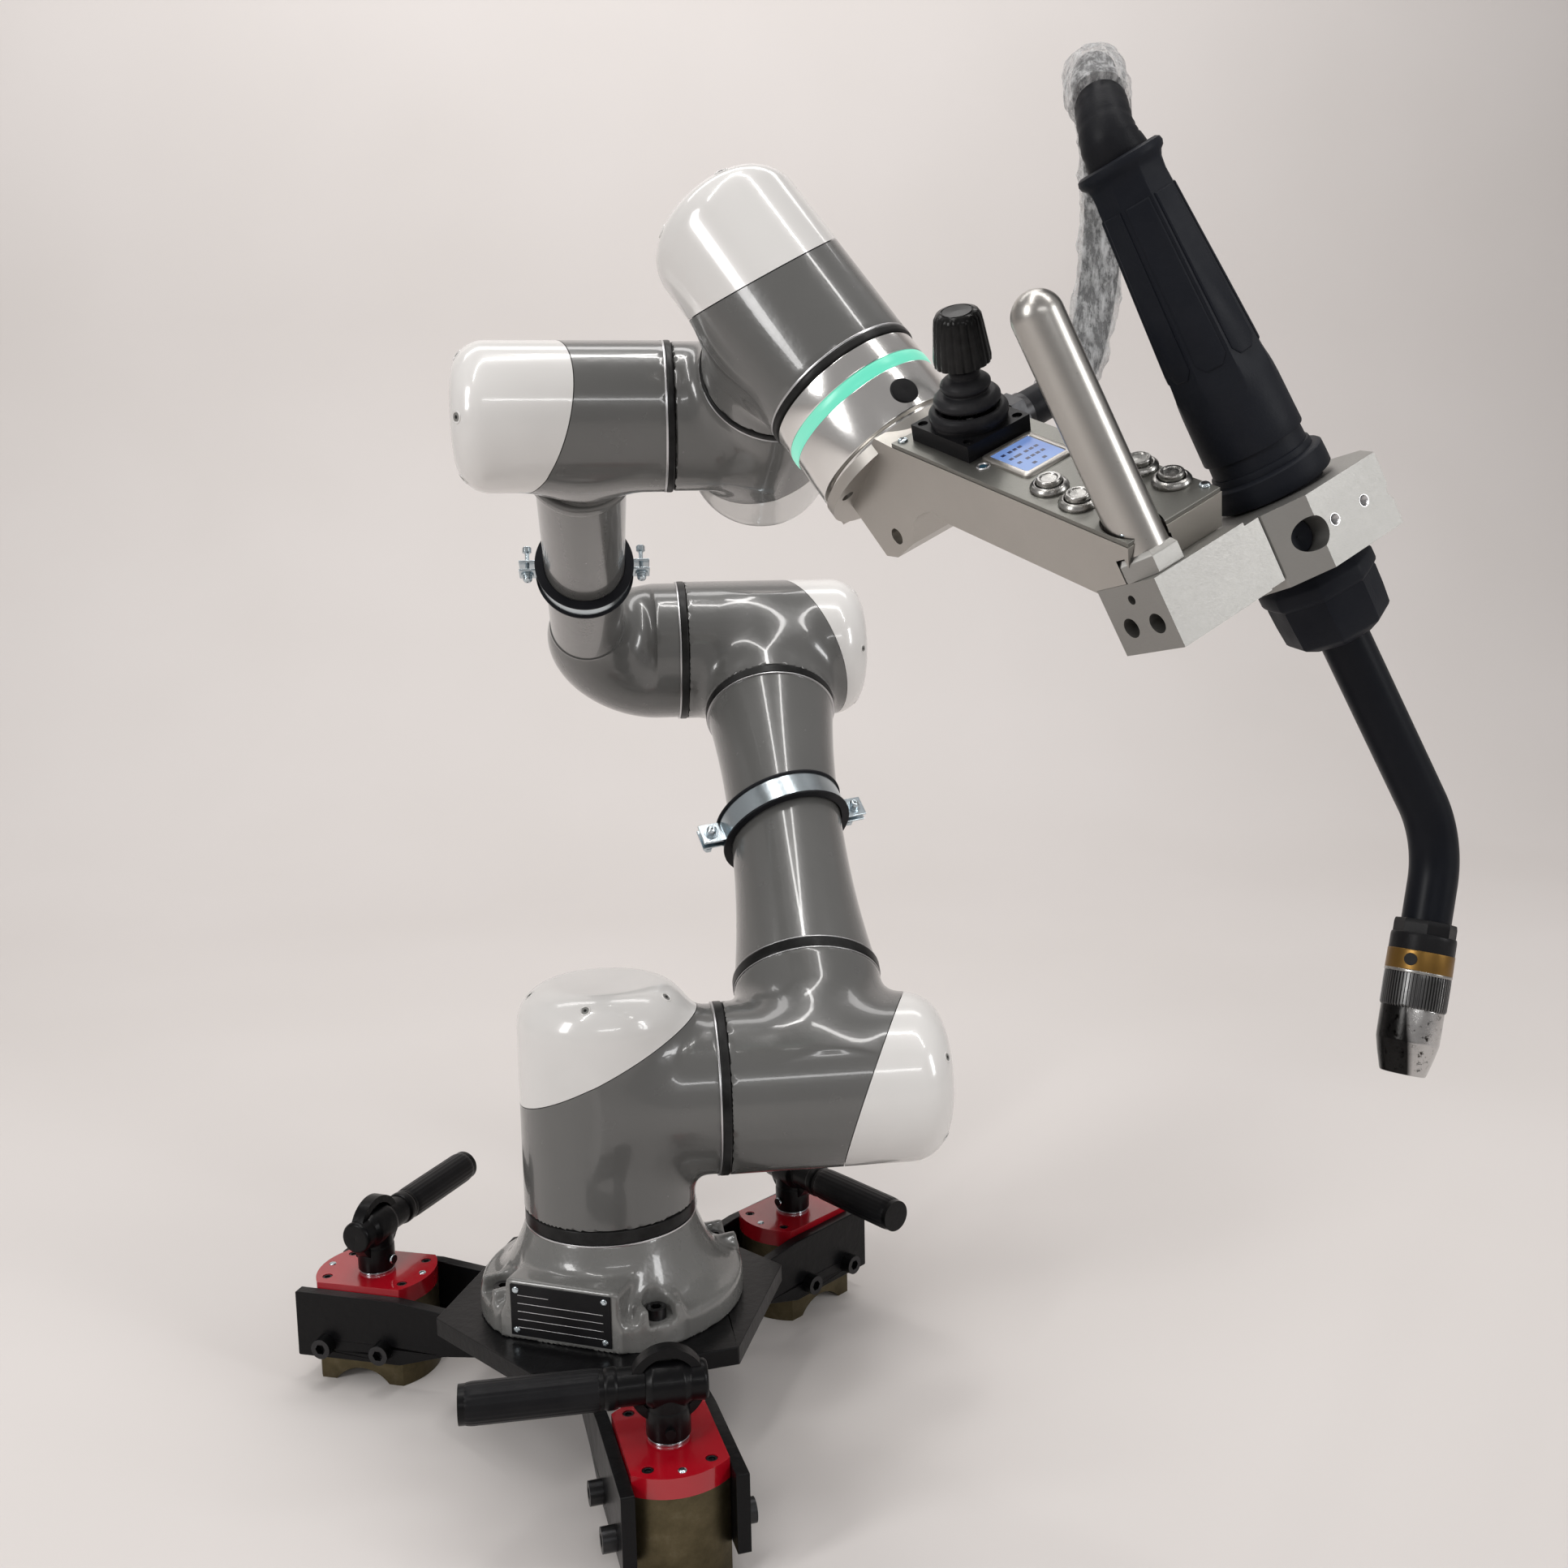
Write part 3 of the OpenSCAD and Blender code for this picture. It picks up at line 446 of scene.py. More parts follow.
def surface(field, low, high, step):
    """Surface net of field = 0 inside a box: points moved onto the surface, and quads."""
    axes = [np.arange(l, h + step, step) for l, h in zip(low, high)]
    grid = np.stack(np.meshgrid(*axes, indexing="ij"), -1)
    val = field(grid.reshape(-1, 3)).reshape(grid.shape[:3])
    inside = val < 0
    shape = tuple(s - 1 for s in val.shape)
    total = np.zeros(shape + (3,))
    count = np.zeros(shape)
    corners = [(i, j, k) for i in (0, 1) for j in (0, 1) for k in (0, 1)]

    def part(array, c):
        return array[c[0] : c[0] + shape[0], c[1] : c[1] + shape[1], c[2] : c[2] + shape[2]]

    for c in corners:
        for axis in range(3):
            if c[axis]:
                continue
            d = list(c)
            d[axis] = 1
            a, b = part(val, c), part(val, d)
            cross = (a < 0) != (b < 0)
            t = np.where(cross, a / np.where(cross, a - b, 1), 0)[..., None]
            point = part(grid, c) * (1 - t) + part(grid, d) * t
            total += np.where(cross[..., None], point, 0)
            count += cross
    active = count > 0
    index = -np.ones(shape, int)
    index[active] = np.arange(active.sum())
    pts = total[active] / count[active][:, None]
    quads = []
    for axis in range(3):
        one = [0, 0, 0]
        one[axis] = 1
        lo = inside[tuple(slice(0, s - o) for s, o in zip(inside.shape, one))]
        hi = inside[tuple(slice(o, s) for s, o in zip(inside.shape, one))]
        where = np.argwhere(lo != hi)
        u, v = [k for k in range(3) if k != axis]
        ok = (where[:, u] > 0) & (where[:, v] > 0) & (where[:, u] < shape[u]) & (where[:, v] < shape[v])
        where = where[ok & (where[:, axis] < shape[axis])]
        cells = []
        for du, dv in ((0, 0), (1, 0), (1, 1), (0, 1)):
            w = where.copy()
            w[:, u] -= du
            w[:, v] -= dv
            cells.append(index[w[:, 0], w[:, 1], w[:, 2]])
        quads.append(np.stack(cells, -1))
    faces = np.concatenate(quads)
    faces = faces[(faces >= 0).all(1)]
    for _ in range(5):
        pts = settle(field, pts)
    return pts, faces


def settle(field, pts, h=0.05):
    """Moves points along the field's slope onto its zero."""
    value = field(pts)
    slope = np.stack([(field(pts + e) - field(pts - e)) / (2 * h) for e in np.eye(3) * h], -1)
    size = (slope**2).sum(1)
    step = slope * (value / np.maximum(size, 0.05))[:, None]
    return pts - np.clip(step, -1.5, 1.5)


def rounded_end(p, r, front, back, corner):
    """Distance to a cylinder along z whose lower end has a large rounded corner."""
    rho = np.hypot(p[:, 0], p[:, 1])
    qx, qz = rho - (r - corner), -p[:, 2] - (back - corner)
    out = np.hypot(np.maximum(qx, 0), np.maximum(qz, 0)) + np.minimum(np.maximum(qx, qz), 0) - corner
    return smax(out, p[:, 2] - front, 1.2)


def cut_loop(ob, inward, depth=2.5):
    """Turns the open edge of a shell inwards, so that its joint shows as a groove."""
    bm = bmesh.new()
    bm.from_mesh(ob.data)
    rim = [e for e in bm.edges if e.is_boundary]
    new = bmesh.ops.extrude_edge_only(bm, edges=rim)["geom"]
    for v in [g for g in new if isinstance(g, bmesh.types.BMVert)]:
        v.co += inward(v.co) * depth * MM
    bmesh.ops.recalc_face_normals(bm, faces=bm.faces)
    bm.to_mesh(ob.data)
    bm.free()
    smooth(ob.data, 38)


SEAM_TILT = 26
CAP_GAP = 0.55
EDGE = 0.46  # a cap's rounded edge, as a share of its radius


def pod(name, matrix, r, front, back, seam, branch_r, branch_len, blend, body, housing, cap, flare=0.0):
    """A joint housing with its branch, blended into one casting, and the cap beyond the slanted seam.
    Returns the field of the whole shape."""
    corner = r * EDGE

    def field(p):
        main = rounded_end(p, r, front, back, corner)
        side = np.hypot(p[:, 1], p[:, 2]) - branch_r - flare * np.clip(1 - (p[:, 0] - 25) / 24, 0, 1)
        side = smax(smax(side, p[:, 0] - branch_len, 1.2), -p[:, 0], 2)
        return smin(main, side, blend)

    lim = r + 6
    pts, faces = surface(field, (-lim, -lim, -back - 5), (branch_len + 6, lim, front + 6), 2.4)
    n = np.array((sin(rad(SEAM_TILT)), 0, cos(rad(SEAM_TILT))))
    whole = obj_from(name, pts, faces, GREY)
    centre = matrix @ Vector((0, 0, 0))
    axis = (matrix.to_3x3() @ Vector((0, 0, 1))).normalized()
    normal = (matrix.to_3x3() @ Vector(n)).normalized()

    def inward(co):
        q = co / MM - centre
        flat = -(q - axis * q.dot(axis))
        flat -= normal * flat.dot(normal)
        return flat.normalized()

    for part, keep, shift, mat in ((housing, 1, 0.0, GREY), (cap, -1, -CAP_GAP, WHITE)):
        bm = bmesh.new()
        bm.from_mesh(whole.data)
        plane = Vector((0, 0, -seam)) + Vector(n) * shift
        geom = bm.verts[:] + bm.edges[:] + bm.faces[:]
        bmesh.ops.bisect_plane(
            bm, geom=geom, plane_co=plane * MM, plane_no=Vector(n), clear_outer=keep < 0, clear_inner=keep > 0
        )
        scale = Matrix.Scale(1 / MM, 4)
        bm.transform(Matrix.Scale(MM, 4) @ matrix @ scale)
        mesh = bpy.data.meshes.new(part + "_shell")
        bm.to_mesh(mesh)
        bm.free()
        mesh.materials.append(mat)
        ob = add_object(part + "_shell", mesh)
        cut_loop(ob, inward)
        finish_piece(ob, body, part)
    bpy.data.objects.remove(whole)
    return field


def cap_screws(name, matrix, field, body, r, back, first, size=3.3):
    """Five screws set into the rounded edge of a cap, the first one at an angle from the branch."""
    rings = []
    edge = r * EDGE
    for k in range(5):
        a = rad(first + 72 * k)
        rho = r - edge * 0.357
        p = np.array([[cos(a) * rho, sin(a) * rho, edge * 0.234 - back]])
        for _ in range(60):
            p = settle(field, p)
        h = 0.05
        g = np.array([field(p + e)[0] - field(p - e)[0] for e in np.eye(3) * h])
        n = Vector(g).normalized()
        place = matrix @ Matrix.Translation(p[0]) @ n.to_track_quat("Z", "Y").to_matrix().to_4x4()
        cup = [(size * 0.3, -0.4), (size * 0.8, -0.35), (size * 0.86, 0.25), (size * 1.05, 0.3),
               (size * 1.15, 0.0), (size * 1.15, -1.5), (size * 0.3, -1.5)]
        rings.append(turned("cup", place, cup, WHITE, 0.1, 24))
        head = [(0.001, 0.05), (size * 0.5, 0.05), (size * 0.82, -0.1), (size * 0.82, -1), (0.001, -1)]
        # the head's grey is partly painted shade of its recess
        rings.append(turned("head", place, head, SCREW_HEAD_AND_SHADE, 0.1, 24))
        # the socket is a near-black disc, painted shade standing in for its hole
        rings.append(turned("socket", place, band(0.001, size * 0.36, 0.12, -0.6), PAINTED_SHADE, 0.05, 6))
    finish_piece(join(name, rings), body)


def smooth_path(points, per=8):
    """Points of a smooth curve through the given ones."""
    pts = [Vector(p) for p in points]
    ends = [pts[0] * 2 - pts[1]] + pts + [pts[-1] * 2 - pts[-2]]
    out = []
    for i in range(len(pts) - 1):
        a, b, c, d = ends[i : i + 4]
        for s in range(per):
            t = s / per
            square, cube = 2 * a - 5 * b + 4 * c - d, 3 * b - a - 3 * c + d
            out.append(0.5 * (2 * b + (c - a) * t + square * t**2 + cube * t**3))
    return out + [pts[-1]]


def sweep(name, path, radius, mat, matrix=None, around=48):
    """A tube along path. radius(share of the way, angle) is in millimetres."""
    verts, faces = [], []
    n = len(path)
    up = None
    for i, p in enumerate(path):
        t = (path[min(i + 1, n - 1)] - path[max(i - 1, 0)]).normalized()
        if up is None:
            up = t.orthogonal().normalized()
        up = (up - t * up.dot(t)).normalized()
        side = t.cross(up)
        for k in range(around):
            a = 2 * math.pi * k / around
            r = radius(i / (n - 1), a)
            verts.append(p + up * (r * cos(a)) + side * (r * sin(a)))
    for i in range(n - 1):
        for k in range(around):
            k2 = (k + 1) % around
            faces.append((i * around + k, i * around + k2, (i + 1) * around + k2, (i + 1) * around + k))
    verts += [path[0], path[-1]]
    for k in range(around):
        faces.append((len(verts) - 2, (k + 1) % around, k))
        faces.append((len(verts) - 1, (n - 1) * around + k, (n - 1) * around + (k + 1) % around))
    return obj_from(name, [tuple(v) for v in verts], faces, mat, matrix, sharp=50)


# -------- torch hose

HOSE_R = 9.5
HOSE_ROUTE = [
    [223.83, -347.67, 648.22], [219.4, -348.33, 655.9], [219.4, -339, 672.2], [223, -321.2, 686.6],
    [230.7, -299, 697.4], [240.3, -275.2, 702.3], [249.7, -253.9, 699.8], [257, -236, 689.5],
    [262, -225, 672], [264, -219, 650], [263, -216.5, 627], [259, -217.5, 605], [252.5, -221.5, 586],
    [242, -229, 573.5], [232.5, -236, 567.5], [222.2, -242.8, 562.1], [214.8, -245.5, 558.4],
]
# points of the path left bare at both ends of the film, and covered by the strain relief
WRAP_MARGIN, RELIEF_END = 16, 26
hose_path = smooth_path(HOSE_ROUTE)
hose = sweep("hose", hose_path, lambda t, a: HOSE_R, RUBBER, around=40)
finish_piece(hose, "tool", "torch_hose")


def film_material():
    """Clear wrapping film: mostly seen through, with bright creases."""
    m = Nodes("clear_film", (0.93, 0.94, 0.95), 0.2)
    creases = m.noise(300, 8, 0.72, (1, 0.6, 0.3))
    m.bump(creases, 1.0, 0.004)
    m.spread(creases, "Alpha", 0.24, 0.78, 0.45, 0.62)
    return m.mat


FILM = film_material()


def crumple(t, a, seed, size=1.0):
    """Folds of film wound round a tube."""
    total = 0
    for k, (turns, runs) in enumerate(((2, 9), (3, -17), (5, 23), (7, -31), (11, 47))):
        total += sin(turns * a + runs * t * 6.28 + seed * (k + 1)) / (k + 1.4)
    return size * total


def film_radius(t, a):
    """Looser over the first third of its run."""
    return HOSE_R + 2.2 + 1.6 * max(0, 1 - 3 * t) + crumple(t, a, 1.7)


wrap = sweep("hose_film", hose_path[WRAP_MARGIN:-WRAP_MARGIN], film_radius, FILM, around=72)
finish_piece(wrap, "tool")

# -------- joint housings

FRAME_1 = T(0, 0, SHOULDER_Z) @ Matrix.Scale(-1, 4, (0, 0, 1))
FRAME_2 = UPPER @ R("Y", -90)
FRAME_3 = ELBOW @ R("Y", -90) @ Matrix.Scale(-1, 4, (1, 0, 0))
FRAME_4 = WRIST_1 @ R("Y", 90)
FRAME_5 = WRIST_2 @ R("Z", 180)
FRAME_6 = WRIST_3 @ R("Z", -90)

PODS = [
    # name, frame, radius, front, back, seam, branch radius, branch length, blend, body, housing, cap, flare,
    # and the angle of the first cap screw
    ("pod_1", FRAME_1, BIG_R, 71.7, 79, 28, 57, 73.7, 13, "shoulder", "shoulder_housing", "shoulder_cap", 0, 40),
    ("pod_2", FRAME_2, BIG_R, 66, 86, 38, 53, 76, 16, "upper_arm", "upper_housing", "upper_cap", 0, 40),
    ("pod_3", FRAME_3, BIG_R, 66, 86, 38, 53, 68, 16, "upper_arm", "elbow_housing", "elbow_cap", 0, 28),
    ("pod_4", FRAME_4, SMALL_R, 48, 73, 24, 31.5, 56, 14, "forearm", "wrist_housing_1", "wrist_cap_1", 8, 64),
    ("pod_5", FRAME_5, SMALL_R, 48, 73, 24, 42.5, 56.7, 10, "wrist_1", "wrist_housing_2", "wrist_cap_2", 0, 64),
    ("pod_6", FRAME_6, SMALL_R, 48, 73, 24, 42.5, 50.7, 10, "wrist_2", "wrist_housing_3", "wrist_cap_3", 0, 34),
]
for *spec, first_screw in PODS:
    name, matrix, r, front, back, seam, branch_r, branch_len, blend, body, housing, cap, flare = spec
    field = pod(*spec)
    cap_screws(cap + "_screws", matrix, field, body, r, back, first_screw)

# thin bright rings beside the seals, on the link that the seal turns with
LIP_WIDTH, LIP_DEPTH, LIP_AT = 1.3, 6, T(0, 0, 46.8)
LIPS = [
    ("lip_base", T(0, 0, 56.6), 57.9, "base"),
    ("lip_shoulder", T(72.3, 0, SHOULDER_Z) @ R("Y", 90), BIG_R + 0.2, "shoulder"),
    ("lip_elbow", FORE @ T(72.3, 0, 0) @ R("Y", 90), BIG_R + 0.2, "forearm"),
    ("lip_wrist_1", FRAME_4 @ LIP_AT, SMALL_R + 0.15, "forearm"),
    ("lip_wrist_2", FRAME_5 @ LIP_AT, SMALL_R + 0.15, "wrist_1"),
    ("lip_wrist_3", FRAME_6 @ LIP_AT, SMALL_R + 0.15, "wrist_2"),
]
for name, matrix, r, body in LIPS:
    ring = [(r, 0), (r, LIP_WIDTH), (r - LIP_DEPTH, LIP_WIDTH), (r - LIP_DEPTH, 0)]
    finish_piece(turned(name, matrix, ring, STEEL, 0.3, 120), body)

for node in ("shoulder_seal", "forearm_seals", "wrist_seal_2", "wrist_seal_3", "base_seal", "upper_collars"):
    cad(node, SEAL, 1.0, 3)
for node in ("upper_drives", "wrist_drive", "base_drive"):
    cad(node, DRIVE, 0)

# -------- upper arm tube and elbow bend

TUBE_LO, TUBE_HI = 84, 333


def tube_r(v):
    """The tube's radius, waisted in the middle and flared to both ends."""
    return 43.5 + 8.5 * abs(2 * (v - TUBE_LO) / (TUBE_HI - TUBE_LO) - 1) ** 2.2


outside = [(tube_r(v), v) for v in np.linspace(TUBE_LO, TUBE_HI, 61)]
verts, faces = lathe(outside + [(40, TUBE_HI), (40, TUBE_LO)], 120)
finish_piece(obj_from("upper_tube_skin", verts, faces, GREY, UPPER), "upper_arm", "upper_tube")
for v, name in ((75.2, "collar_lip_low"), (84.0, "collar_lip_mid"), (332.2, "collar_lip_high")):
    ring = [(53.3, v), (53.3, v + 0.8), (48, v + 0.8), (48, v)]
    finish_piece(turned(name, UPPER, ring, STEEL, 0.2, 120), "upper_arm")

BEND_START, BEND_ACROSS, BEND_R = 53.7, 55.8, 62
FORE_X = BEND_START - BEND_ACROSS
bend_path = [Vector((x, 0, 0)) for x in (73.7, 70, 66, 62, 58)]
for i in range(33):
    a = math.pi / 2 * i / 32
    bend_path.append(Vector((BEND_START - BEND_ACROSS * sin(a), 0, BEND_R * (1 - cos(a)))))
bend_path += [Vector((FORE_X, 0, BEND_R + d)) for d in (1.5, 3)]


def bend_radius(t, a):
    """Tapers from the elbow's radius to the forearm tube's."""
    s = min(1, max(0, (t - 0.1) / 0.86))
    return BIG_R - 1 - (BIG_R - 1 - 29.8) * (s * s * (1.9 - 0.9 * s))


finish_piece(sweep("elbow_skin", bend_path, bend_radius, GREY, FORE, 96), "forearm", "elbow_bend")
cad("fore_tube", GREY, 0)
collar = [(33.6, 0), (34.4, 2), (34.4, 8), (33.0, 10), (30, 10), (30, 0)]
finish_piece(turned("fore_collar", FORE @ T(FORE_X, 0, 339), collar, GREY, 1.5), "forearm")

# -------- pipe clamps with rubber liners


def box_mesh(lo, hi):
    """Corners and faces of a box."""
    v = [(x, y, z) for x in (lo[0], hi[0]) for y in (lo[1], hi[1]) for z in (lo[2], hi[2])]
    return v, [(0, 1, 3, 2), (4, 6, 7, 5), (0, 4, 5, 1), (2, 3, 7, 6), (0, 2, 6, 4), (1, 5, 7, 3)]


def cross_slot(matrix, reach, half, low, high, mat, turn):
    """Two crossed dark bars, painted shade that shows as the recess of a screw's head."""
    bar = box_mesh((-reach, -half, low), (reach, half, high))
    return [obj_from("slot", *bar, mat, matrix @ R("Z", k)) for k in (turn, turn + 90)]


def pan_screw(matrix, r, length):
    """Cross-recessed screw with a washer, spring washer, and a nut at the far end."""
    pan = [(0.01, 0), (r * 1.1, 0), (r * 1.1, 1.6), (r * 0.7, 3.2), (r * 0.3, 3.4), (0.01, 2.2)]
    obs = [
        turned("washer", matrix, band(r * 0.4, r * 1.5, 0, 1.2), ZINC, 0.3, 40),
        turned("spring", matrix @ T(0, 0, 1.2), band(r * 0.4, r * 1.15, 0, 1.4), ZINC, 0.3, 32),
        turned("pan", matrix @ T(0, 0, 2.6), pan, ZINC, 0.5, 32),
        turned("stud", matrix, band(0.01, r * 0.5, 0, -length), ZINC, 0.3, 20),
        turned("nut", matrix @ T(0, 0, 3 - length), band(r * 0.4, r * 1.1, 0, -4), ZINC, 0.3, 6, sharp=25),
    ]
    # the cross recess is two dark bars in the black screw finish, painted shade
    return obs + cross_slot(matrix, r * 0.75, r * 0.13, 5.0, 5.75, SCREW, 0)


def pipe_clamp(name, matrix, tube, width, ear, body, node):
    """Two half straps with a rubber liner, bolted together at ears on both sides."""
    thick, half_gap = 1.8, 4.2
    inner = tube + 3.2
    lip = inner + thick + 1.6
    liner = [(tube + 0.2, -2), (lip, -2), (lip, -0.2), (inner, 0.2), (inner, width - 0.2),
             (lip, width + 0.2), (lip, width + 2), (tube + 0.2, width + 2)]
    obs = [turned("liner", matrix, liner, RUBBER, 0.5, 120)]
    obs.append(turned("strap", matrix, band(inner, inner + thick, 0, width), ZINC, 0.4, 120))
    for s in (-1, 1):
        x0, x1 = sorted((s * (inner + thick * 0.4), s * (inner + thick + ear)))
        for y in (-half_gap, half_gap - thick):
            obs.append(obj_from("ear", *box_mesh((x0, y, 0.5), (x1, y + thick, width - 0.5)), ZINC, matrix))
        place = matrix @ T(s * (inner + thick + ear * 0.55), -half_gap, width / 2) @ R("X", 90)
        obs += pan_screw(place, width * 0.2, 20)
    ob = join(name, obs)
    bevel(ob, 0.35, 2)
    return finish_piece(ob, body, node)


strap_at = UPPER @ T(0, 0, 213) @ R("Z", 6) @ R("Y", -14)
pipe_clamp("upper_strap", strap_at, 45.2, 18, 18, "upper_arm", "upper_clamp")
pipe_clamp("fore_strap", WRIST_1 @ T(FORE_X, 0, -229), 29, 15, 13, "forearm", "fore_clamp")

# -------- base

BOLT_R, BOLT_DIRS, PLATE_DIR, PLATE_D = 77, (-70, 20, 110, 200), -115.5, 79
CAST_R, CAST_TOP_R, CAST_TOP, BORE_R, PLATE_BOSS, POCKET_R = 89, 57, 58, 49, 40, 9.2


def dome(rho):
    """Height of the casting's top at a distance from its axis."""
    t = np.clip((rho - CAST_TOP_R) / (CAST_R - CAST_TOP_R), 0, 1)
    return CAST_TOP - 36.5 * (1 - (1 - t) ** 2.6) - 4 * t


def along(p, degrees):
    """How far points lie along a level direction, and to its left."""
    a = rad(degrees)
    return p[:, 0] * cos(a) + p[:, 1] * sin(a), p[:, 1] * cos(a) - p[:, 0] * sin(a)


def base_field(p):
    """The domed casting with its nameplate's boss, four bolt pockets and open bore."""
    rho = np.hypot(p[:, 0], p[:, 1])
    f = smax(rho - CAST_R, (p[:, 2] - dome(rho)) * 0.72, 4)
    f = smax(f, p[:, 2] - CAST_TOP, 0.8)
    out, side = along(p, PLATE_DIR)
    boss = smax(smax(np.abs(side), p[:, 2], 5) - PLATE_BOSS, np.abs(out - 55) - 24.5, 4)
    f = smin(f, boss, 7)
    for d in BOLT_DIRS:
        u, v = along(p, d)
        pocket = np.hypot(np.maximum(BOLT_R - u, 0), v) - POCKET_R
        pad = smax(np.hypot(np.minimum(u - 70, 0), v) - 15, p[:, 2] - 26, 4)
        f = smin(f, smax(pad, rho - 88.6, 2), 5)
        f = smax(f, -smax(pocket, 15 - p[:, 2], 2), 1.5)
    f = smax(f, np.where(np.abs(side) < PLATE_BOSS + 2, out - PLATE_D, -9), 1.0)
    f = smax(f, BORE_R - rho, 1)
    return smax(f, -p[:, 2], 0.6)


pts, faces = surface(base_field, (-92, -92, -2), (92, 92, 61), 1.7)
finish_piece(obj_from("base_skin", pts, faces, CAST, sharp=50), "base", "base_casting")

plate_at = R("Z", PLATE_DIR) @ T(PLATE_D, 0, 20.5) @ R("Y", 90) @ R("Z", 90)
parts = [obj_from("sheet", *box_mesh((-35, -17, 0.05), (35, 17, 1.25)), PLASTIC, plate_at)]
rivet = [(0.01, 0), (2.4, 0), (2.2, 0.7), (1.2, 1.1), (0.01, 1.1)]
for k in range(5):
    y, end = -11.6 + 5.4 * k, 30 if k < 4 else -8
    parts.append(obj_from("rule", *box_mesh((-30, y, 1.2), (end, y + 0.3, 1.3)), STEEL, plate_at))
for x, y in CORNERS:
    parts.append(turned("rivet", plate_at @ T(31 * x, 13.5 * y, 1.2), rivet, ZINC, 0.2, 20))
label = join("nameplate", parts)
bevel(label, 0.5)
finish_piece(label, "base")
cad("base_connector", STEEL, 0.6)
cad("frame_bolts", SCREW, 0.4)

# film gathered round the connector
at_connector = R("Z", 64) @ T(66, 0, 20) @ R("Y", 90)
gather = [Vector((0.6 * sin(k * 0.8), 0.5 * cos(k * 1.1), 2 + k * 2.2)) for k in range(22)]


def gather_radius(t, a):
    return 17.5 + 2.5 * sin(3.1 * t) + crumple(t * 0.4, a, 0.6, 1.3) - 9 * max(0, t - 0.86) / 0.14


finish_piece(sweep("connector_film", gather, gather_radius, FILM, at_connector, 72), "base")

# -------- magnetic frame

cad("base_plate", BLACK, 1.2, 3)
cad("leg_plates", BLACK, 0.9, 3)
cad("magnets", GOLD, 0.6)
cad("magnet_caps", RED, 1.1, 3)
FOOT_R, FLOOR_Z, MAGNET_H, LEVER_Z, LEVER_TURN = 180, -73, 71, 103, -97
FEET = [T(0, 0, FLOOR_Z) @ R("Z", a) @ T(FOOT_R, 0, 0) for a in (-81, -201, -321)]
DOME_RIVET = [(0.01, 0), (2.6, 0), (2.2, 0.6), (1.2, 0.9), (0.01, 0.9)]
SUNK_SCREW = [(0.01, -2), (2, -2), (2, -0.4), (3.2, -0.4), (3.2, -5), (0.01, -5)]
extras = []
for foot in FEET:
    for x in (-35.5, 35.5):
        extras.append(turned("rivet", foot @ T(x, 0, MAGNET_H), DOME_RIVET, ZINC, 0.2, 20))
    for x, y in CORNERS:
        extras.append(turned("sunk_screw", foot @ T(29 * x, 18 * y, MAGNET_H), SUNK_SCREW, SCREW, 0.2, 24))
    extras.append(turned("bush", foot @ T(0, 0, MAGNET_H), band(9.8, 12.3, 0, 1.6), ZINC, 0.3, 48))
finish_piece(join("magnet_details", extras), "base")

GRIP = [(0.01, 38), (11.2, 38), (11.6, 42), (11.7, 60), (11.7, 109), (11.2, 112), (9, 115.8), (0.01, 116)]
LEVER_NECK = [(10.8, 28), (11.6, 30), (11.6, 34), (10.8, 36)]
LEVER_BOSS = [(0.01, -23), (10, -23), (11.2, -21), (11.2, -13), (13.5, -9), (13.5, 9), (11, 13), (0.01, 13)]
LEVER_STEM = [(9.5, 0), (12.9, 0), (12.9, 16), (11.4, 21), (9.5, 21)]
LEVER_PIN = [(0.01, 0), (3.4, 0), (3.1, 1.3), (1.2, 1.9), (0.01, 1.9)]
for foot, name in zip(FEET, ("lever_front", "lever_left", "lever_right")):
    cad(name, BLACK, 0.7, 3)
    hub = foot @ R("Z", LEVER_TURN)
    bar = hub @ T(0, 0, LEVER_Z) @ R("Y", 90)
    pin_at = hub @ T(0, -13.6, MAGNET_H + 9) @ R("X", 90)
    parts = [
        turned("grip", bar, GRIP, PLASTIC, 1.2, 144, lambda a, i: 1 - 0.012 * (cos(24 * a) > 0.35) * (1 < i)),
        turned("neck", bar, LEVER_NECK, BLACK, 0.6, 64),
        turned("boss", bar, LEVER_BOSS, BLACK, 1.0, 72),
        turned("stem", hub @ T(0, 0, MAGNET_H + 2.2), LEVER_STEM, BLACK, 0.8, 64),
        turned("pin", pin_at, LEVER_PIN, ZINC, 0.3, 24),
    ]
    finish_piece(join(name + "_details", parts), name + "_body")

# -------- guiding tool

cad("wrist_seal_2", SEAL, 0.6, 3)  # a second, finer rounding of this seal's edges
cad("tool_bracket", ALLOY, 0.9, 3)
cad("end_block", ALLOY_BLOCK, 0.7, 3)
cad("torch_clamp", ALLOY_BLOCK, 0.7, 3)
cad("control_panel", PANEL_GREY, 0.35)
cad("joystick_base", PLASTIC, 0.8, 3)
cad("joystick_gimbal", STEEL, 0)

LIT = [(16, 63.8), (42.4, 63.8), (42.7, 67), (42.4, 70.2), (16, 70.2)]
SLEEVE = [(16, 70.4), (42.2, 70.4), (42.2, 93.8), (38, 93.8), (38, 96.8), (16, 96.8)]
for name, profile, mat, corner, node in (
    ("flange_ring", band(16, 42.4, 52.4, 63.6), CHROME_SATIN, 0.7, "tool_flange"),
    ("lit_ring", LIT, GLOW, 0.8, "light_ring"),
    ("sleeve_ring", SLEEVE, CHROME_SATIN, 0.6, "tool_sleeve"),
):
    finish_piece(turned(name, TOOL, profile, mat, corner, 160), "tool", node)
plug = [(0.01, -3), (7.2, -3), (7.2, 0.15), (6.6, 0.7), (0.01, 0.85)]
extras = [turned("plug", TOOL @ T(0, 41.9, 84) @ R("X", -90), plug, PLASTIC, 0.3, 48)]

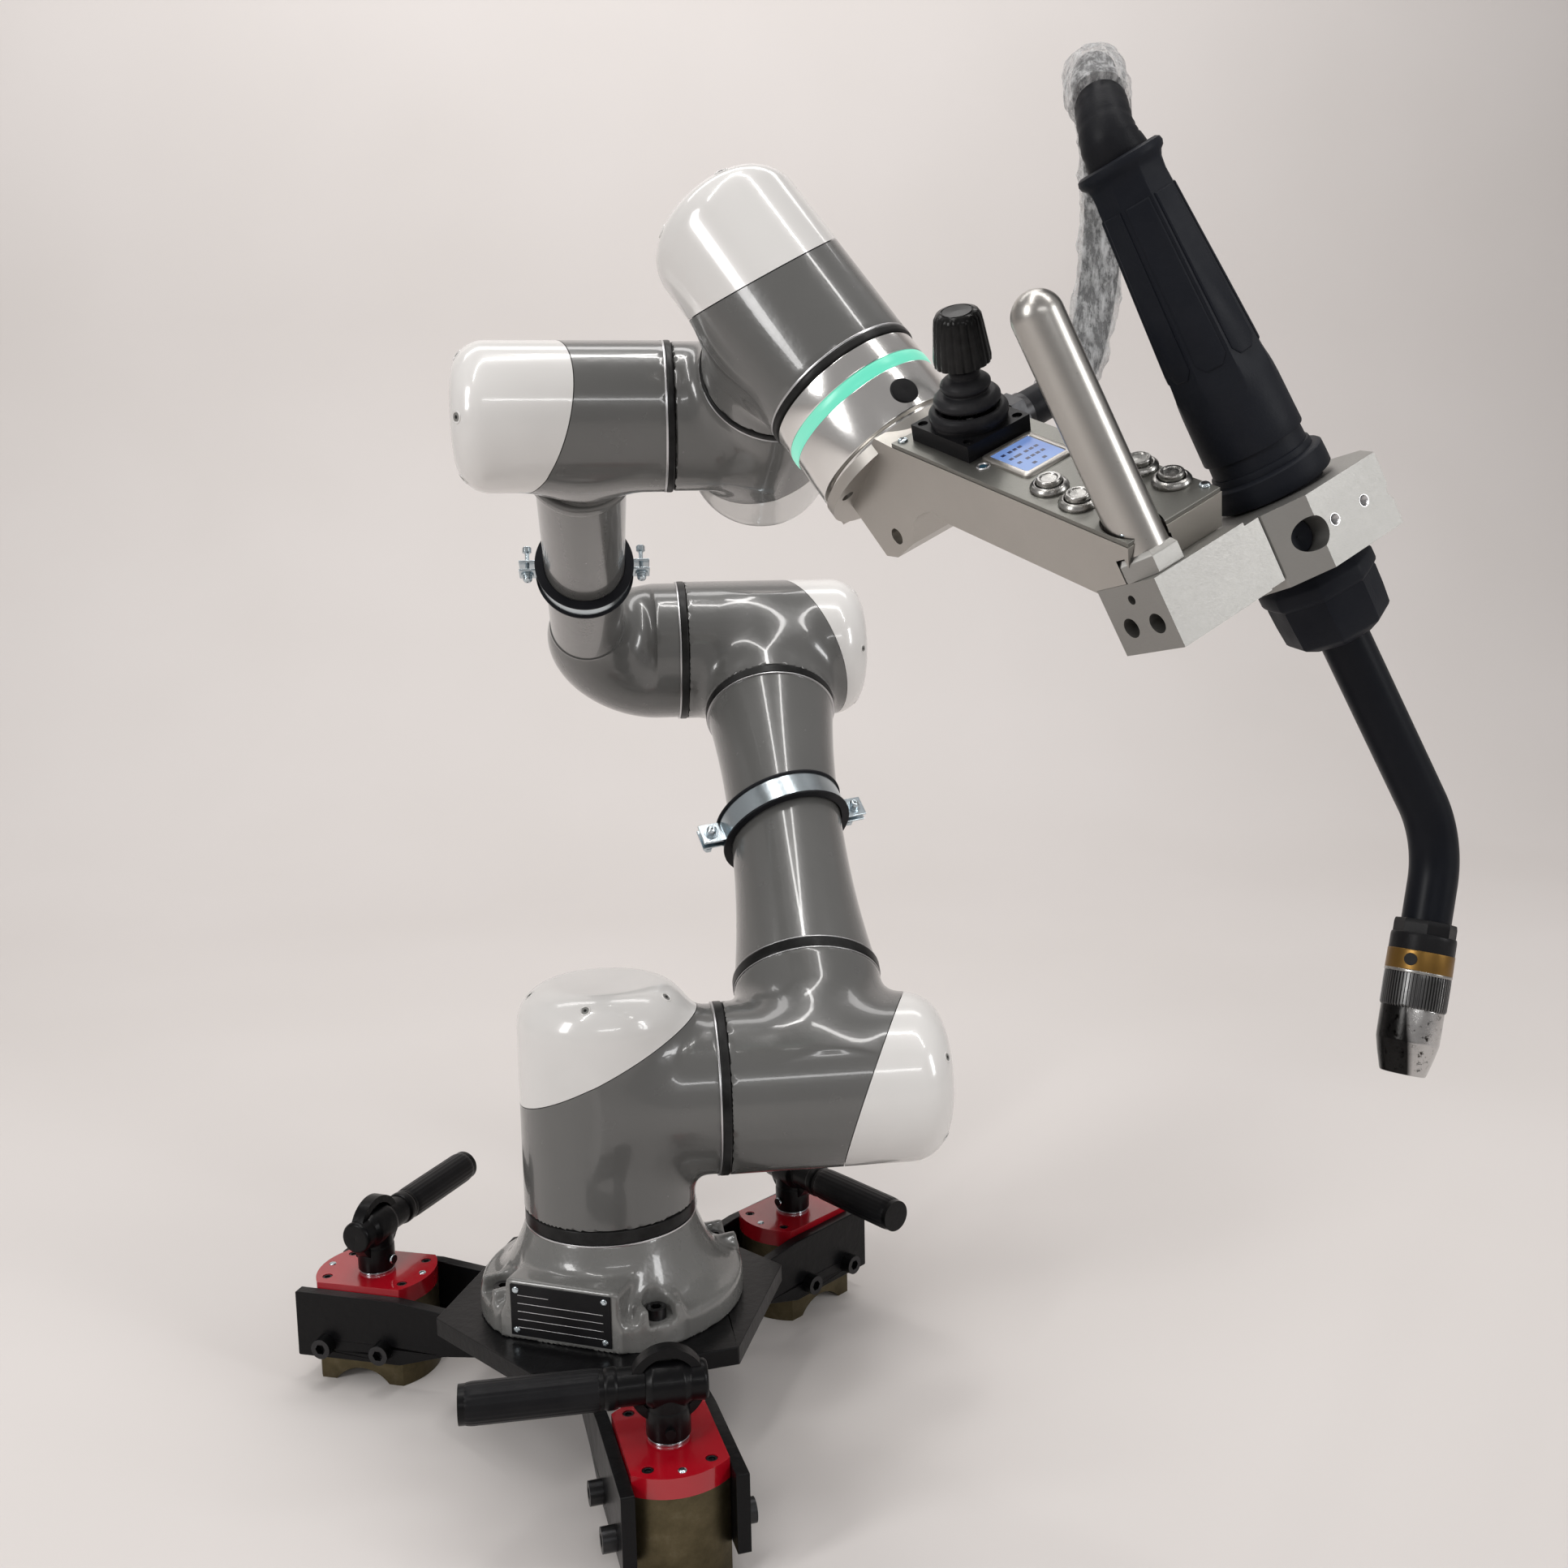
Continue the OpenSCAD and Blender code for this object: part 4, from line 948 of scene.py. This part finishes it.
# grip rod with its hexagonal foot
rod_at = BLOCK @ T(13, 123, 0) @ R("X", 180)
rod = [(0.01, 9), (10.9, 9), (10.9, 112)]
rod += [(10.901 * cos(rad(a)), 112 + 11 * sin(rad(a))) for a in range(6, 90, 6)] + [(0.01, 122.9)]
hex_foot = [(0.01, 0), (14.2, 0), (14.2, 7.6), (12.2, 10), (0.01, 10)]
parts = [
    obj_from("rod", *lathe(rod, 120), ALLOY_TURNED, rod_at),
    turned("foot", rod_at, hex_foot, ALLOY_BLOCK, 0.5, 6, sharp=20),
]
bevel(parts[1], 0.3)
finish_piece(join("rod_body", parts), "tool", "grip_rod")

# panel details
PANEL_TOP = 2


def small_screw(matrix, r, mat=ZINC):
    """A cross-recessed pan head."""
    head = [(0.01, -0.5), (r, -0.5), (r, 0.3 * r), (r * 0.75, 0.52 * r), (0.01, 0.6 * r)]
    obs = [turned("head", matrix, head, mat, 0.25 * r, 28)]
    # the cross recess is two near-black bars, painted shade
    return obs + cross_slot(matrix, r * 0.58, r * 0.1, 0.5 * r, 0.62 * r, PAINTED_SHADE, 20)


for x, y in ((5, 3.6), (52, 145.5), (5, 145.5), (50.5, 3.6)):
    extras += small_screw(on_panel(x, y) @ T(0, 0, PANEL_TOP), 2.5)
at_led = on_panel(10, 54.8) @ T(0, 0, PANEL_TOP)
ring = [(1.9, -0.5), (3.3, -0.5), (3.3, 0.5), (2.6, 0.8), (1.9, 0.4)]
extras.append(turned("led_ring", at_led, ring, STEEL, 0.2, 32))
lens = [(0.01, -0.5), (1.9, -0.5), (1.9, 0.3), (1.2, 0.7), (0.01, 0.8)]
extras.append(turned("led", at_led, lens, LED, 0.3, 24))
at_stick = on_panel(27.5, 27)
socket_head = [(0.01, 1), (1.1, 1), (1.1, 2.6), (2.2, 2.6), (2.2, 0), (0.01, 0)]
for x, y in CORNERS:
    extras.append(turned("socket", at_stick @ T(15 * x, 16 * y, 6), socket_head, SCREW, 0.2, 20))
bore = [(0.01, -30), (7.0, -30), (7.0, -9), (0.01, -11)]
extras.append(turned("bore", CLAMP @ T(-18, 36, 18) @ R("X", -90), bore, RUBBER_GRIP, 1, 48))
for x in (-6, 12.5):
    thread = [(2.45, 0.2)] + [(2.45 - 0.45 * (k % 2), -0.5 * k) for k in range(1, 16)] + [(2.7, -8), (2.7, 0.2)]
    extras.append(obj_from("thread", *lathe(thread, 40), STEEL, CLAMP @ T(x, 35.9, 17.5) @ R("X", -90)))
finish_piece(join("tool_details", extras), "tool")

at_screen = on_panel(28.5, 64)
cad("screen", SCREEN, 0)


def rounded_rect(w, h, r, n=5):
    """Outline of a rectangle with half sizes w and h and corners of radius r."""
    out = []
    for cx, cy, a0 in ((w - r, h - r, 0), (r - w, h - r, 90), (r - w, r - h, 180), (w - r, r - h, 270)):
        out += [(cx + r * cos(rad(a0 + 90 * i / n)), cy + r * sin(rad(a0 + 90 * i / n))) for i in range(n + 1)]
    return out


BEZEL = [  # half width, half height, corner radius, height
    (15.2, 15.8, 3, 1.9), (15.0, 15.6, 2.8, 3.0), (14.3, 14.9, 2.3, 3.5),
    (12.1, 12.6, 1.2, 3.5), (11.6, 12.1, 0.8, 3.0), (11.6, 12.1, 0.8, 1.9),
]


def skin(loops, close=False, caps=False):
    """Points and faces between loops with the same count of points."""
    n = len(loops[0])
    verts = [q for loop in loops for q in loop]
    faces = []
    m = len(loops)
    for i in range(m if close else m - 1):
        j = (i + 1) % m
        for k in range(n):
            faces.append((i * n + k, i * n + (k + 1) % n, j * n + (k + 1) % n, j * n + k))
    if caps:
        faces.append(tuple(range(n))[::-1])
        faces.append(tuple((m - 1) * n + k for k in range(n)))
    return verts, faces


loops = [[(x, y, z) for x, y in rounded_rect(w, h, r)] for w, h, r, z in BEZEL]
parts = [obj_from("bezel", *skin(loops, close=True), ALLOY, at_screen)]
for row, runs in enumerate(((-9, -5, -2, 1), (-9, -6, -4, 0, 3, 6), (-9, -4, -1, 2, 5), (-5, 1))):
    for a in runs:
        y = 6.5 - row * 5.4
        parts.append(obj_from("mark", *box_mesh((a, y, 3.2), (a + 2.1, y + 1.8, 3.26)), SCREEN_MARK, at_screen))
finish_piece(join("screen_frame", parts), "tool")

BUTTONS = [(14, 93), (12, 112.5), (48, 112.5), (47, 132)]
rings = []
collar = [(5.9, 2), (5.9, 4.6), (6.5, 5), (7.7, 4.4), (8.6, 3.2), (8.6, 2)]
top = [(0.01, 2.5), (5.5, 2.5), (5.5, 6.7), (5, 7.2), (3.9, 7.1), (3.5, 6.6), (0.01, 6.6)]
for i, (x, y) in enumerate(BUTTONS):
    at = on_panel(x, y)
    rings.append(turned("bezel", at, collar, CHROME, 0.4, 72))
    finish_piece(turned(f"push_{i + 1}", at, top, CHROME, 0.25, 64), f"button_{i + 1}_body", f"button_{i + 1}")
finish_piece(join("bezels", rings), "tool", "button_bezels")

# joystick: fixed lower fold, and the folds, shaft and knob that lean with the stick
low = [(12, 9), (17.2, 9), (17.2, 10.6), (18.7, 13), (18.6, 16), (16.6, 17.6), (14.8, 17.4), (14, 15), (12, 13)]
finish_piece(turned("boot_low", at_stick, low, RUBBER_SOFT, 1.4, 96), "tool")
folds = [(5.2, 35.6), (6.4, 35.2), (7.2, 33.6), (6.9, 32), (9.6, 31), (11.8, 29), (11.6, 27), (10.2, 25.6),
         (10.4, 24.8), (13.4, 24.4), (15.5, 22.4), (15.7, 20.4), (14.2, 18.6), (12.4, 18.4), (12.4, 20),
         (5.2, 31)]
finish_piece(turned("boot_top", at_stick, folds, RUBBER_SOFT, 1.2, 96), "stick", "joystick_boot")


def flute(a, i):
    """Twenty grooves down the knob's side."""
    return 1 - 0.04 * max(0, cos(20 * a)) ** 1.5 if 2 <= i <= 8 else 1


KNOB_SIDE = [(0.01, 38), (11.5, 38), (13.1, 38.6), (13.3, 41), (12.9, 44), (12.4, 48), (11.9, 52), (11.4, 56),
             (10.8, 59.6), (9.6, 61.6), (7.6, 62.3), (7.0, 61.9), (6.6, 62.4), (0.01, 62.5)]
parts = [
    obj_from("knob", *lathe(KNOB_SIDE, 200, flute), KNOB, at_stick, sharp=50),
    turned("shaft", at_stick, band(0.01, 3.2, 17.6, 38.4), CHROME, 0.2, 40),
    turned("nut", at_stick, band(0.01, 4.6, 35.2, 36.6), STEEL, 0.2, 6, sharp=20),
]
finish_piece(join("stick_knob", parts), "stick", "joystick_knob")

# -------- torch


def facet(a, n, turn=0.0):
    """Share of a regular polygon's corner radius at angle a."""
    step = 2 * math.pi / n
    return cos(step / 2) / cos((a + rad(turn)) % step - step / 2)


def loft(name, matrix, rings, mat, around, turn=22.5):
    """A solid through rings (z, radius, share of octagon: 0 round, 1 eight flats)."""
    loops = []
    for z, r, share in rings:
        loop = []
        for k in range(around):
            a = 2 * math.pi * k / around
            q = r * (1 - share + share * facet(a, 8, turn))
            loop.append((q * cos(a), q * sin(a), z))
        loops.append(loop)
    return obj_from(name, *skin(loops, caps=True), mat, matrix, sharp=40)


grip = [
    (-154.5, 12, 0), (-155.2, 13.5, 0), (-155.3, 16.6, 0), (-154.4, 18.2, 0), (-152.6, 18.7, 0),
    (-150.8, 18.2, 0), (-149.4, 17, 0.2), (-147, 16.4, 0.5), (-143, 16.4, 0.8), (-141, 16.6, 1),
    (-120, 17.9, 1), (-95, 19.4, 1), (-75, 20.7, 1), (-60, 21.6, 1), (-57, 21.9, 0.9),
    (-53, 22, 0.55), (-50, 21.8, 0.25), (-46, 21.7, 0.05), (-43, 21.7, 0), (-30, 22, 0),
    (-23, 22.2, 0), (-22.4, 22, 0), (-22.2, 20.7, 0), (-18, 20.9, 0), (-15.4, 21, 0),
    (-15.2, 21.9, 0), (-13.6, 22.3, 0), (-12.2, 22.3, 0), (-12, 22.9, 0), (-11.8, 25, 0),
    (-11, 25.8, 0), (-6, 26, 0), (-1.6, 26, 0), (-1.1, 25.6, 0), (-1, 20.9, 0), (37, 20.9, 0),
]
handle = loft("handle_grip", TORCH, grip, RUBBER_GRIP, 160)

# a raised pad on each of the handle's eight flats: (along the handle, side)
PAD = [(-136, -1), (-136, 1), (-118, 1), (-95, 1), (-66, 1), (-62, 0.5), (-62, -0.5), (-66, -1),
       (-95, -1), (-118, -1)]
pads = []
for k in range(8):
    a = rad(45 * k)
    half = math.tan(rad(22.5)) * 0.74
    loops = []
    for inset, lift in ((0, -0.7), (0, 0.35), (0.6, 0.75)):
        loop = []
        for z, side in PAD:
            r = 16.6 + 5 * (z + 141) / 81  # the handle tapers from 21.6 at -60 to 16.6 at -141
            flat = r * cos(rad(22.5)) + lift
            w = r * half * side - inset * (1 if side > 0 else -1)
            zz = z + inset * (1 if z < -100 else -1)
            loop.append((flat * cos(a) - w * sin(a), flat * sin(a) + w * cos(a), zz))
        loops.append(loop)
    pads.append(obj_from("pad", *skin(loops, caps=True), RUBBER_GRIP, TORCH, sharp=28))
finish_piece(join("grip_body", [handle] + pads), "tool", "torch_handle")

front = [
    (36.6, 15, 0), (36.6, 20.6, 0.1), (41.6, 25.4, 0.45), (42.6, 26, 0.55), (47.6, 26, 0.6),
    (48.8, 25.6, 0.7), (50, 24.4, 0.85), (51, 24.6, 1), (60, 24.3, 1), (69.2, 23.6, 1),
    (70.4, 22.8, 1), (73.6, 17.6, 0.9), (74.3, 16.4, 0.8), (74.4, 11, 0),
]
finish_piece(loft("boot_front", TORCH, front, RUBBER_GRIP, 160, turn=0), "tool", "torch_boot")

NECK_R, NECK_STRAIGHT, NECK_BEND_R, NECK_BEND, NECK_END = 11, 166.5, 52, 45.3, 28
neck_path = [Vector((0, 0, z)) for z in np.linspace(72, NECK_STRAIGHT, 12)[:-1]]
for i in range(21):
    a = rad(NECK_BEND) * i / 20
    neck_path.append(Vector((-NECK_BEND_R * (1 - cos(a)), 0, NECK_STRAIGHT + NECK_BEND_R * sin(a))))
NECK_TIP = T(*neck_path[-1]) @ R("Y", -NECK_BEND)
neck_path += [NECK_TIP @ Vector((0, 0, NECK_END * k / 4)) for k in (1, 2, 3, 4)]
finish_piece(sweep("neck_tube", neck_path, lambda t, a: NECK_R, NECK, TORCH, 72), "tool", "torch_neck")

at_nozzle = TORCH @ NECK_TIP @ T(0, 0, NECK_END)
KNURL = [(8, 15), (14.6, 15), (14.7, 17), (14.7, 23), (14.6, 30.4), (14, 31.4), (8, 31.4)]
CUP = [(9, 31), (13.9, 31), (13.9, 40), (13.8, 46.6), (12.4, 53), (10.3, 61), (9.8, 62), (8.6, 62), (8.2, 61),
       (8.2, 44), (8, 31)]
DIFFUSER = [(0.01, 34), (8.1, 34), (8.1, 42), (4.4, 43), (4.4, 52), (3.2, 58), (0.01, 58)]
at_port = at_nozzle @ R("Z", 155) @ T(14.2, 0, 9) @ R("Y", 90)
parts = [
    turned("sleeve", at_nozzle, [(9, -10), (13.4, -10), (13.8, -8), (13.8, -2), (9, -2)], PLASTIC, 0.5, 8,
           sharp=20),
    turned("collar", at_nozzle, [(9, -3.5), (14.2, -3.5), (14.5, -2), (14.5, 5), (9, 5)], PLASTIC, 0.5, 72),
    turned("nut", at_nozzle, [(8, 4.5), (14.7, 4.5), (14.8, 14), (8, 14)], BRONZE, 0.4, 72),
    turned("lip", at_nozzle, band(8, 14.9, 13.8, 15.2), CHROME, 0.4, 72),
    turned("knurl", at_nozzle, KNURL, KNURL_STEEL, 0.3, 360, lambda a, i: 1 - 0.045 * (cos(60 * a) > 0)),
    # the cup's chrome carries painted reflections as dark and bright bands, and weld spatter
    turned("cup", at_nozzle, CUP, CHROME_PAINTED_REFLECTIONS, 0.5, 96),
    turned("diffuser", at_nozzle, DIFFUSER, BRASS, 0.4, 48),
    # the gas port is a near-black disc, painted shade standing in for its hole
    turned("port", at_port, band(0.01, 2.9, -1, 0.8), PAINTED_SHADE, 0.1, 24),
]
finish_piece(join("nozzle_set", parts), "tool", "nozzle")


def relief_radius(t, a):
    """Tapers to the hose, with ribs after its plain first part."""
    rib = 0.35 * (cos(t * 60) > 0.2) * (t > 0.12)
    return HOSE_R + 0.4 + 3.4 * (1 - t) ** 1.3 - rib


# strain relief at the rear of the handle, and the coupling at the hose's far end
finish_piece(sweep("strain_relief", hose_path[:RELIEF_END], relief_radius, RUBBER, around=56), "tool")
cad("hose_coupling", SCREW, 0.5)

# -------- floor and light, in metres

FLOOR = FLOOR_Z * MM
FLOOR_END, SWEEP_R, WALL_TOP, HALF_WIDTH = 1.5, 1.2, 5.0, 5
profile = [(-3.0, FLOOR)]
for a in range(0, 91, 6):
    profile.append((FLOOR_END + SWEEP_R * sin(rad(a)), FLOOR + SWEEP_R * (1 - cos(rad(a)))))
profile.append((FLOOR_END + SWEEP_R, WALL_TOP))
verts = [(x / MM, y / MM, z / MM) for x in (-HALF_WIDTH, HALF_WIDTH) for y, z in profile]
n = len(profile)
faces = [(i, i + 1, n + i + 1, n + i) for i in range(n - 1)]


def stage_material():
    m = Nodes("studio", (0.66, 0.63, 0.61), 0.75)
    m.vary_color(m.noise(1.5, 2), [(0.2, (0.64, 0.61, 0.59)), (0.8, (0.68, 0.65, 0.635))])
    return m.mat


floor = obj_from("studio", verts, faces, stage_material())

bpy.context.scene.view_settings.view_transform = "Standard"
world = bpy.data.worlds.new("studio")
bpy.context.scene.world = world
world.use_nodes = True
sky = world.node_tree.nodes["Background"]
socket(sky, "Color", (0.9, 0.87, 0.86, 1))
socket(sky, "Strength", 0.36)


def softbox(name, place, target, size, power, color=(1, 1, 1)):
    data = bpy.data.lights.new(name, "AREA")
    data.shape = "RECTANGLE"
    data.size, data.size_y = size
    data.energy = power
    data.color = color
    ob = add_object(name, data)
    ob.location = place
    ob.rotation_euler = (Vector(target) - Vector(place)).to_track_quat("-Z", "Y").to_euler()


softbox("window_left", (-2.2, -1.5, 1.5), (0, 0.1, 0.4), (0.55, 1.3), 30, (1, 0.99, 0.98))
softbox("window_right", (2.3, -1.7, 1.3), (0.1, 0.1, 0.4), (0.45, 1.2), 20)
softbox("strip_left", (-0.45, -0.5, 2.6), (0, 0.1, 0.3), (0.1, 2.4), 15, (1, 0.98, 0.96))
softbox("strip_right", (0.65, -0.5, 2.6), (0.1, 0.1, 0.3), (0.1, 2.4), 15, (1, 0.98, 0.96))
softbox("front", (0.3, -3.0, 1.6), (0.1, 0, 0.4), (1.6, 0.14), 7)
softbox("wall", (0.0, 1.3, 3.2), (0, 2.7, 0.9), (4.0, 0.8), 46, (1, 0.98, 0.97))
